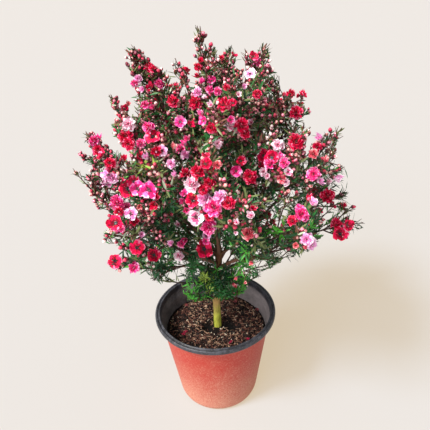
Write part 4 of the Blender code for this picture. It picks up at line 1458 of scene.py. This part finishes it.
def in_view(spots):
    """Whether each spot is within 60 mm of the nearest to the camera in its cell of pixels."""
    column, row, depth = photo_place(spots.root)
    cell = (column // CELL).astype(int) * 100 + (row // CELL).astype(int)
    nearest = np.full(cell.max() + 1, 9.0)
    np.minimum.at(nearest, cell, depth)
    return depth < nearest[cell] + 60 * MM


# Blossoms that the photograph shows: how many pixels off a spot may lie, the cost
# of a pixel and of so much depth, the gain from facing the camera, the highest
# cost taken, and the room that one blossom takes
SHOWN_REACH = 11
PIXEL_COST = 1.6
DEPTH_PER_COST = 2.5 * MM
FACING_GAIN = 2.0
OUT_OF_REACH = 99
HIGHEST_COST = 40
SHOWN_APART = 3.8 * MM

# Their radius over the width read, above and below a row, the wide ones that count
# as open, and how far the dark-eyed, the open and the others turn to the camera
HIGH_ROW = 120
RADIUS_HIGH, RADIUS_LOW = 0.54, 0.61
SHOWN_RADII = (2.8 * MM, 10.2 * MM)
OPEN_FROM = 13
TURN_EYED, TURN_OPEN, TURN_OTHER = 1.4, 1.2, 0.5

# The other blossoms: where they start, in depth behind the crown's centre, in
# height and in share of the way out, their clusters, and their radii in mm
OTHER_DEPTH = -30 * MM
LOWEST_OTHER_BLOOM = 185 * MM
OTHER_FROM = 0.74
CLUSTERS = 110
CLUSTER_SPREAD = (20, 70)
CLUSTER_SIZE = 8
CLUSTER_THINNING = 0.25
CLUSTER_APART = 7 * MM
OTHER_RADII = (4.2, 7.4)

# How many of them have their cluster's main colour and how many a dark eye. Those
# less deep than this are crimson
MAIN_COLOUR, OTHER_EYED = 0.7, 0.4
COLOURED_DEPTH = 35 * MM

# Blossoms smaller than this are half open, and each stands above its twig by a
# share of its radius
HALF_OPEN_BELOW = 4.0 * MM
BLOSSOM_HEIGHT = 0.55
Blooms = namedtuple("Blooms", "root base way radius colour kind shown mass")


def hides_bloom(points, blooms, reach):
    """Whether points stand over a blossom, or between a shown one and the camera.

    Over it is within reach times its radius from its axis and up to 9 mm high.
    """
    hidden = np.zeros(len(points), bool)
    for centre, axis, radius in zip(blooms.base, blooms.way, blooms.radius):
        off = points - centre
        rise = off @ axis
        flat = np.sqrt(np.maximum((off * off).sum(axis=1) - rise**2, 0))
        hidden |= (flat < radius * reach) & (rise > -1.0 * MM) & (rise < 9 * MM)
    column, row, depth = photo_place(points)
    for at_column, at_row, at_depth, radius in zip(
        *photo_place(blooms.base[blooms.shown]), blooms.radius[blooms.shown]
    ):
        off = np.hypot(column - at_column, row - at_row) * at_depth / FOCAL
        hidden |= (off < radius * 0.8) & (depth < at_depth)
    return hidden


def shown_blooms(spots, heart, to_camera, taken):
    """Spot, radius, colour, turn and dark eye of each blossom that the photograph shows.

    It takes the spot of least cost near its pixel, as far forward as there is one,
    and its heart, given beside, lies on the line of sight through that pixel.
    """
    column, row, depth = photo_place(heart)
    facing = (spots.way * to_camera).sum(axis=1)
    right, up, forward = (np.array(axis) for axis in camera_axes())
    half = FRAME_SIDE / 2
    made, hearts = [], []
    for colour, rows in BLOOMS.items():
        for place_column, place_row, wide in rows:
            off = np.hypot(column - place_column, row - place_row)
            near = off < SHOWN_REACH
            if not near.any():
                continue
            behind = (depth - depth[near].min()) / DEPTH_PER_COST
            cost = PIXEL_COST * off + behind - FACING_GAIN * facing + OUT_OF_REACH * (taken | ~near)
            best = int(np.argmin(cost))
            if cost[best] > HIGHEST_COST:
                continue
            taken |= np.linalg.norm(heart - heart[best], axis=1) < SHOWN_APART
            through = forward + right * (place_column - half) / FOCAL + up * (half - place_row) / FOCAL
            hearts.append(np.array(CAMERA_AT) + through * (depth[best] - 2 * MM))
            share = RADIUS_HIGH if place_row < HIGH_ROW else RADIUS_LOW
            radius = np.clip(share * wide * depth[best] / FOCAL, *SHOWN_RADII)
            dark_eyed = (place_column, place_row) in DARK_EYED
            turned = TURN_EYED if dark_eyed else TURN_OPEN if wide >= OPEN_FROM else TURN_OTHER
            made.append((best, radius, colour, turned, dark_eyed))
    return made, hearts


def other_blooms(spots, beyond, taken, rule):
    """The same for the blossoms elsewhere, which come in clusters of one main colour."""
    free = (beyond > OTHER_DEPTH) & ~in_view(spots) & (spots.root[:, 2] > LOWEST_OTHER_BLOOM)
    free = np.flatnonzero(free & (spots.outer > OTHER_FROM) & ~taken)
    names = list(BLOOMS)
    shares = np.array([len(rows) for rows in BLOOMS.values()], float)
    shares /= shares.sum()
    made = []
    for _ in range(CLUSTERS):
        centre = spots.root[rule.choice(free)]
        main = rule.choice(names, p=shares)
        gap = np.linalg.norm(spots.root[free] - centre, axis=1)
        around = free[np.argsort(gap)[: rule.integers(*CLUSTER_SPREAD)]]
        for best in rule.permutation(around)[:CLUSTER_SIZE]:
            if taken[best] or rule.random() < CLUSTER_THINNING:
                continue
            taken |= np.linalg.norm(spots.root - spots.root[best], axis=1) < CLUSTER_APART
            radius = rule.uniform(*OTHER_RADII) * MM
            own = main if rule.random() < MAIN_COLOUR else rule.choice(names, p=shares)
            colour = own if beyond[best] > COLOURED_DEPTH else "crimson"
            made.append((best, radius, colour, 0.0, rule.random() < OTHER_EYED))
    return made


def place_blooms(spots, rule):
    """Every blossom's root, middle, way, radius, colour and kind, the shown ones first.

    The widest of those face the camera, and the smallest of all are half open.
    """
    heart = spots.root + spots.way * 4 * MM
    to_camera = unit(np.array(CAMERA_AT) - spots.root)
    taken = np.zeros(len(heart), bool)
    made, hearts = shown_blooms(spots, heart, to_camera, taken)
    shown = len(made)
    made += other_blooms(spots, photo_place(heart)[2] - depth_of(CROWN_CENTRE), taken, rule)
    chosen, radii, colour, turned, dark_eyed = (np.array(part) for part in zip(*made))
    root, mass = spots.root[chosen], spots.mass[chosen]
    way = unit(spots.way[chosen] + turned[:, None] * to_camera[chosen])
    other = rule.choice(["double", "double", "cupped", "half_open"], len(chosen))
    kind = np.where(dark_eyed, "single", np.where(turned > 1, "double", other))
    kind[radii < HALF_OPEN_BELOW] = "half_open"
    base = root + way * (radii * BLOSSOM_HEIGHT)[:, None]
    base[:shown] = hearts
    return Blooms(root, base, way, radii, colour, kind, np.arange(len(chosen)) < shown, mass)


def flower_stalks(blooms):
    """A short stalk from each blossom's twig up into its cup."""
    end = blooms.base - blooms.way * (blooms.radius * BLOSSOM_HEIGHT)[:, None]
    gap = np.linalg.norm(end - blooms.root, axis=1)
    far = gap > 0.5 * MM
    bend = end - blooms.way * (gap * 0.4)[:, None]
    count = far.sum()
    radius = np.full(count, 0.5 * MM)
    return Twigs(blooms.root[far], bend[far], end[far], radius, radius * 0.9, blooms.mass[far])


def bloom_shapes(kind, variant):
    """The shapes of petals that make each kind of blossom, and which blossoms take them.

    A single one is five open petals, a cupped one five raised ones, a half-open one
    two small steep rings and a double one four rings, each smaller and steeper.
    """
    shapes = []
    for number in range(3):
        single = (kind == "single") & (variant == number)
        shapes.append((petal_shape(5, 0.16 + 0.10 * number, 0.04, seed=number), single))
    for number in range(2):
        cupped = (kind == "cupped") & (variant % 2 == number)
        shapes.append((petal_shape(5, 0.62 + 0.2 * number, 0.0, radius=0.9, seed=3 + number), cupped))
    half_open = kind == "half_open"
    shapes.append((petal_shape(5, 1.15, -0.05, radius=0.66, seed=6), half_open))
    shapes.append((petal_shape(5, 1.25, 0.0, turn=TURN / 10, radius=0.46, seed=7), half_open))
    double = kind == "double"
    for number, (petals, cup, lift, size) in enumerate(
        ((7, 0.16, 0.00, 1.0), (7, 0.42, 0.07, 0.82), (6, 0.80, 0.12, 0.60), (5, 1.30, 0.14, 0.38))
    ):
        ring = petal_shape(petals, cup, lift, number * TURN / 13, size, 8 + number, breadth=0.80)
        shapes.append((ring, double))
    return shapes


def make_blooms(blooms, rule):
    """Petals by colour, dark middles and stamens in the open blossoms, and a cup under each."""
    base, radius, colour, kind = blooms.base, blooms.radius, blooms.colour, blooms.kind
    count = len(base)
    axes = turned_axes(blooms.way, rule.uniform(0, TURN, count)) * radius[:, None, None]
    shapes = bloom_shapes(kind, rule.integers(0, 3, count))
    for name, codes in PETAL_TONES.items():
        zones = zip(("claw", "blade", "rim", "edge"), codes)
        skins = [petal_skin(f"petal_{name}_{zone}", code) for zone, code in zones]
        parts, which = [], []
        for (shape, shape_faces, shape_zones), wanted in shapes:
            here = (colour == name) & wanted
            if here.any():
                parts.append(stamp(shape, shape_faces, base[here], axes[here]))
                which.append(np.tile(shape_zones, here.sum()))
        points, faces = gather(parts)
        put_mesh("petals_" + name, points, faces, skins, np.concatenate(which))

    # The nectar cup in an open blossom's middle: a shallow bowl, nearly black in
    # the crimson blossoms and dark crimson in the others
    profile = [(0.02, -0.04), (0.15, -0.06), (0.22, 0.05), (0.20, 0.08), (0.12, 0.03), (0.03, 0.02)]
    bowl = turned_shape(profile, 8)
    opened = kind == "single"
    parts, which = [], []
    for number, here in enumerate((opened & (colour == "crimson"), opened & (colour != "crimson"))):
        parts.append(stamp(*bowl, base[here], axes[here]))
        which.append(np.full(here.sum(), number))
    points, faces = gather(parts)
    which = np.concatenate(
        [np.concatenate([np.repeat(some, len(part)) for some in which]) for part in bowl[1]]
    )
    cups = [bud_skin("nectar_cup_black", "14030A"), bud_skin("nectar_cup_crimson", "560A26")]
    put_mesh("blossom_middles", points, faces, cups, which)
    shape, shape_faces, parts_of = stamen_shape()
    points, faces = stamp(shape, shape_faces, base[opened], axes[opened])
    stalks = twig_skin("stamen_stalk", "8E1438")
    heads = twig_skin("stamen_head", "2A060E")
    which = np.tile(parts_of, opened.sum())
    put_mesh("blossom_stamens", points, faces, [stalks, heads], which)
    cup = turned_shape([(0.06, -0.60), (0.12, -0.53), (0.28, -0.22), (0.31, -0.04), (0.25, -0.02)], 7)
    points, faces = stamp(*cup, base, axes)
    put_mesh("blossom_cups", points, faces, [twig_skin("calyx_cup", "5A3A34")])


# Buds: radii in mm, and where each tint ends in the order of their sprays' luck
BUD_RADII = (1.25, 2.15)
BUD_SHARES = (0.25, 0.48, 0.70, 0.80)


def make_buds(spots, blooms, rule):
    """Buds on the outer twigs, in bunches, thickest high in the crown.

    The height where they thicken rises from left to right. A bud is a globe of
    folded petals, deep below, streaked and pale above, in a dark cup; the pale
    above is partly the petals' own colour and partly a painted highlight. Its tint
    goes by its spray.
    """
    side = np.clip(spots.root[:, 0] / (100 * MM), -1, 1)
    sunny = 248 * MM + np.where(side < 0, 25 * MM, 50 * MM) * side
    high = np.clip((spots.root[:, 2] - sunny) / (70 * MM), 0, 1)
    bunch = np.clip(0.45 + 0.9 * waves(spots.root, 24 * MM, 8), 0, 1)
    chance = np.clip((spots.outer - 0.45) / 0.25, 0, 1) * (0.02 + 0.54 * high) * (0.34 + bunch)
    keep = (rule.random(len(chance)) < chance) & high_enough(spots.root, spots.mass, -6 * MM)
    keep &= in_outline(spots.root) & clear_of_sky(spots.root) & (spots.outer < 0.97)
    keep &= ~hides_bloom(spots.root + spots.way * 2 * MM, blooms, 0.95)
    root, way, twig = spots.root[keep], spots.way[keep], spots.twig[keep]
    count = len(root)
    radius = rule.uniform(*BUD_RADII, count) * MM
    axes = turned_axes(way, rule.uniform(0, TURN, count)) * radius[:, None, None]
    seat = root + way * (radius * 1.15 + 0.4 * MM)[:, None]
    luck = rule.random(spots.twig.max() + 1)[twig] * 0.55 + rule.random(count) * 0.45
    edges = np.quantile(luck, BUD_SHARES)
    tint = np.array(list(BUD_TONES))[np.searchsorted(edges, luck)]
    globe = turned_shape([(0.48, -0.85), (0.96, -0.25), (0.88, 0.50), (0.34, 1.25)], 6)
    # Whether each face has the upper colour, pale petals and painted highlight: three bands of walls, then
    # the two ends
    walls = np.array([0] * 6 + [0, 0, 1, 0, 0, 1] + [1, 1, 0, 1, 1, 1])
    ends = np.array([0] * 6 + [1] * 6)
    for name, (low_code, pale_and_highlight_code) in BUD_TONES.items():
        here = tint == name
        skins = [bud_skin(f"bud_{name}_base", low_code), bud_skin(f"bud_{name}_tip", pale_and_highlight_code)]
        points, faces = stamp(*globe, seat[here], axes[here])
        which = np.concatenate([np.tile(walls, here.sum()), np.tile(ends, here.sum())])
        put_mesh("buds_" + name, points, faces, skins, which)
    cup = turned_shape([(0.20, -1.60), (0.98, -0.75), (1.04, -0.12)], 5)
    points, faces = stamp(*cup, seat, axes)
    put_mesh("bud_cups", points, faces, [twig_skin("bud_calyx", "4A2024")])


def leaf_tones(twigs, parent, root, outer, high, low, rule):
    """A tone for each leaf by its spray: dark or mid green or olive, and others in places.

    High up they turn lighter, with bronze at the tips, low round the trunk bright
    green, and FRESH growth has its own. A few show their silvery underside.
    """
    tips = np.clip((outer - 0.70) / 0.2, 0, 1) * np.clip((root[:, 2] - 240 * MM) / (120 * MM), 0, 1)
    luck, other = rule.random(len(twigs.start))[parent], rule.random(len(twigs.start))[parent]
    dark = luck < 0.56 - 0.28 * high - 0.26 * low
    tone = np.where(dark, "bottle_green", np.where(luck < 0.93 - 0.36 * high, "mid_green", "olive"))
    tone = np.where(other < 0.07 * (1 - high) + 0.46 * low, "bright_green", tone)
    tone = np.where(other > 1 - 0.18 * tips, "bronze", tone)
    column, row, depth = photo_place(curve(twigs, np.full(len(twigs.start), 0.6)))
    for at_column, at_row, wide, tall, fresh in FRESH:
        off = ((column - at_column) / wide) ** 2 + ((row - at_row) / tall) ** 2
        tone = np.where(((off < 1) & (depth < depth_of(CROWN_CENTRE)))[parent], fresh, tone)
    return np.where(rule.random(len(root)) < SILVER_SHARE, "silver_underside", tone)


def make_leaves(twigs, first, blooms, rule):
    """Spiralled leaves that point forward, dealt by spray into plain greens and bronze.

    They are thin in the crown's core, and fewer and longer high up and low outside.
    None stands over a blossom, in a gap that shows sky or past the outline.
    """
    parent, rank, t = places_on(twigs, LEAF_PITCH, first, 1.0, rule)
    on = pick(twigs, parent)
    root, along = curve(on, t), slope(on, t)
    outer = outwards(root, on.mass)

    # How high up a leaf stands, how low near the trunk, and how low outside, from 0 to 1
    high = np.clip((root[:, 2] - 250 * MM) / (100 * MM), 0, 1)
    away = np.hypot(root[:, 0] - CROWN_CENTRE.x, root[:, 1] - CROWN_CENTRE.y)
    above = root[:, 2] - UNDERSIDE_LOW - UNDERSIDE_RISE * away
    low = np.clip(1 - above / (24 * MM), 0, 1) * np.clip(1.6 - away / (60 * MM), 0, 1)
    open_low = np.clip((away - 55 * MM) / (40 * MM), 0, 1) * (1 - high)
    bare = BARE_CORE + 0.22 * high
    share = np.clip((outer - bare) / 0.14, 0.04, 1) * (1 - 0.58 * open_low - 0.54 * high - 0.34 * low)
    keep = (rule.random(len(root)) < share) & high_enough(root, on.mass, 3 * MM)
    parent, rank, t, root, along, outer, high, low, open_low = (
        part[keep] for part in (parent, rank, t, root, along, outer, high, low, open_low)
    )
    count = len(root)
    out = spiral_out(twigs, parent, rank, along, rule, LEAF_SCATTER)
    open_by = np.radians(62 - 14 * t**3 + rule.normal(0, 10, count))[:, None]
    way = unit(along * np.cos(open_by) + out * np.sin(open_by) + np.array([0, 0, 0.08]))
    face = unit(along * np.sin(open_by) - out * np.cos(open_by))
    edge = unit(np.cross(face, way))
    face = np.cross(way, edge)
    length = LEAF_LENGTH * rule.uniform(0.72, 1.18, count) * (1 - 0.14 * t**4)
    length *= (1 + 0.12 * high + 0.22 * open_low) * (1 - 0.04 * np.clip((outer - 0.55) / 0.25, 0, 1))
    width = LEAF_WIDTH * rule.uniform(0.85, 1.15, count) * (0.5 + 0.5 * length / LEAF_LENGTH)
    width *= 0.80 + 0.20 * np.maximum(high, open_low)
    thick = np.where(rule.random(count) < CUPPED_LEAVES, 1.0, -0.6) * width
    middle, tip = (root + way * (length * share)[:, None] for share in (0.6, 0.88 - 0.36 * low))
    free = in_outline(tip) & clear_of_sky(middle) & clear_of_sky(tip) & ~hides_bloom(middle, blooms, 0.9)
    tone = leaf_tones(twigs, parent, root, outer, high, low, rule)
    axes = np.stack([way * length[:, None], edge * width[:, None], face * thick[:, None]], axis=1)
    blade, blade_faces = leaf_shape()
    for name, code in LEAF_TONES.items():
        here = free & (tone == name)
        points, faces = stamp(blade, blade_faces, root[here], axes[here])
        put_mesh("leaves_" + name, points, faces, [leaf_skin("leaf_" + name, code)])


# Scraps of petal in each heap on the soil
SCRAPS = 5


def make_fallen(rule):
    """Dropped blossoms and petals where the photograph shows them: a few scraps on the soil."""
    parts, skins, which = [], [], []
    for number, (code, rows) in enumerate(FALLEN.items()):
        skins.append(petal_skin(("fallen_crimson", "fallen_dusty_rose")[number], code))
        for column, row, wide in rows:
            spot = on_soil(column, row)
            x, y = spot.x + rule.normal(0, 1.2, SCRAPS) * MM, spot.y + rule.normal(0, 1.2, SCRAPS) * MM
            radius = wide / 2 * MM * rule.uniform(0.7, 1.1, SCRAPS)
            origins = np.stack([x, y, soil_height(x, y) + 1.6 * MM], axis=1)
            way = unit(np.array([[0, 0, 1.0]]) + rule.normal(0, 0.35, (SCRAPS, 3)))
            axes = turned_axes(way, rule.uniform(0, TURN, SCRAPS)) * radius[:, None, None]
            shape, shape_faces, _ = petal_shape(3, 0.35, 0.0)
            parts.append(stamp(shape, shape_faces, origins, axes))
            which.append(np.full(len(shape_faces[0]) * SCRAPS, number))
    points, faces = gather(parts)
    put_mesh("fallen_petals", points, faces, skins, np.concatenate(which))


def grow_shoots(boughs, trunk_limbs):
    """Stems and side shoots as in the solids, cut back, and the shoots of TIPS."""
    wood = list(boughs.values()) + trunk_limbs
    stems = {mass.name: main_shoot(mass, boughs) for mass in MASSES}
    sides, side_mass = [], []
    for number, mass in enumerate(MASSES):
        others = [stem for name, stem in stems.items() if name != mass.name]
        made = side_shoots(mass, stems[mass.name], wood + others)
        sides += made
        side_mass += [number] * len(made)
    first = as_twigs(list(stems.values()), range(len(MASSES)), 1.25 * MM, 0.42 * MM)
    second = as_twigs(sides, side_mass, 0.85 * MM, 0.36 * MM)
    return join_twigs(cut_back(join_twigs(first, second)), tip_shoots(stems))


def grow_twigs(shoots, boughs, trunk_limbs, rule):
    """Two finer orders of twigs on shoots, boughs and the trunk's top.

    Those whose middle or tip would stand in a gap that shows sky are left out.
    """
    bough_mass = [number for number, mass in enumerate(MASSES) if mass.name in boughs]
    bough_twigs = branch(as_twigs(list(boughs.values()), bough_mass, 0, 0), BOUGH_TWIGS, rule)
    heights = [row[0] for row in TRUNK_STATIONS]
    sprouts = []
    for order, low, high in (
        (TRUNK_SPROUTS, SPROUTS_FROM, SPROUTS_TO), (FORK_SPROUTS, SPROUTS_TO, heights[-1])
    ):
        limbs = [limb for limb, height in zip(trunk_limbs, heights) if low < height < high]
        sprouts.append(branch(as_twigs(limbs, [len(MASSES) - 1] * len(limbs), 0, 0), order, rule))
    twigs = join_twigs(branch(shoots, TWIGS, rule), bough_twigs, *sprouts)
    tips = branch(shoots, TIP_TWIGS, rule)
    parents = pick(twigs, twig_lengths(twigs) > TWIGLET_PARENT)
    fine = join_twigs(twigs, tips, branch(parents, TWIGLETS, rule))
    middle = curve(fine, np.full(len(fine.start), 0.5))
    return pick(fine, clear_of_sky(middle) & clear_of_sky(fine.end))


def make_crown(boughs):
    """Shoots and twigs, and then the blossoms, buds and leaves that they bear."""
    ends = [trunk_at(row[0]) for row in TRUNK_STATIONS]
    middles = [trunk_at((a[0] + b[0]) / 2)[0] for a, b in zip(TRUNK_STATIONS, TRUNK_STATIONS[1:])]
    trunk_limbs = [
        Limb(low, middle, high, low_radius, high_radius)
        for (low, low_radius), middle, (high, high_radius) in zip(ends, middles, ends[1:])
    ]
    rule = np.random.default_rng(17)
    shoots = grow_shoots(boughs, trunk_limbs)
    fine = grow_twigs(shoots, boughs, trunk_limbs, rule)

    points, faces = twig_tubes(shoots, sides=6, rings=14)
    piece = put_mesh("shoots", points, faces, [twig_skin("shoot_bark", "4C3026")])
    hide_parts(*("foliage_" + mass.name for mass in MASSES))

    bearing = join_twigs(shoots, fine)
    blooms = place_blooms(bloom_spots(bearing, 5 * MM, 0.30, rule), rule)
    points, faces = twig_tubes(join_twigs(fine, flower_stalks(blooms)), sides=3, rings=5)
    put_mesh("twigs", points, faces, [twig_skin("twig_bark", "583A2A")])
    make_blooms(blooms, rule)
    make_buds(bloom_spots(bearing, 2.9 * MM, 0.25, rule), blooms, rule)
    make_leaves(bearing, 0.10, blooms, rule)
    make_fallen(rule)


# The stage, the lights and the camera

def make_stage():
    """A wide pale floor, a pale sky all round, and three lights.

    A sun stands high on the left, a soft window low on the left, and a weak fill
    on the right. The floor glows a little, which keeps it even and pale.
    """
    size = 9.0
    corners = np.array([(-size, -size, 0), (size, -size, 0), (size, size, 0), (-size, size, 0)])
    mesh = bpy.data.meshes.new("floor")
    mesh.from_pydata(corners.tolist(), [], [(0, 1, 2, 3)])
    floor = bpy.data.objects.new("floor", mesh)
    bpy.context.scene.collection.objects.link(floor)
    material, tree, shader, place = new_material(
        "matt_cream_floor", Base_Color=linear("6C7B92"), Specular_IOR_Level=0.1
    )
    shader.inputs["Emission Color"].default_value = linear("CDB995")
    shader.inputs["Emission Strength"].default_value = 0.98
    grain(tree, shader, place, 40, 0.02, 0.2, rough=(0.85, 0.95))
    mesh.materials.append(material)

    world = bpy.data.worlds.new("studio")
    world.use_nodes = True
    sky = world.node_tree.nodes["Background"]
    sky.inputs["Color"].default_value = linear("F7F6F6")
    sky.inputs["Strength"].default_value = 0.47
    bpy.context.scene.world = world
    # Each light: where it comes from, its width in degrees, its strength and its tint
    for name, place_at, spread, power, tint in (
        ("high_sun", (-0.70, -0.42, 1.0), 16, 4.2, "FFFCF6"),
        ("left_window", (-0.70, -0.90, 0.50), 36, 1.9, "FCFBFF"),
        ("right_fill", (0.5, -0.9, 0.8), 50, 0.20, "FFFEFC"),
    ):
        light = bpy.data.lights.new(name, "SUN")
        light.angle = math.radians(spread)
        light.energy = power
        light.color = linear(tint)[:3]
        lamp = bpy.data.objects.new(name, light)
        lamp.location = place_at
        lamp.rotation_euler = (-Vector(place_at)).to_track_quat("-Z", "Y").to_euler()
        bpy.context.scene.collection.objects.link(lamp)


def make_camera():
    """The photograph's camera."""
    right, up, forward = camera_axes()
    data = bpy.data.cameras.new("camera")
    data.lens = LENS
    data.sensor_width = SENSOR
    camera = bpy.data.objects.new("camera", data)
    camera.matrix_world = Matrix(
        [(*[axis[k] for axis in (right, up, -forward)], CAMERA_AT[k]) for k in range(3)] + [(0, 0, 0, 1)]
    )
    bpy.context.scene.collection.objects.link(camera)
    bpy.context.scene.camera = camera


make_stage()
make_camera()
make_pot()
make_soil()
strew_bits(np.random.default_rng(5))
make_trunk()
BOUGHS = plan_boughs()
make_boughs(BOUGHS)
make_crown(BOUGHS)
bpy.context.scene.view_settings.view_transform = "Standard"
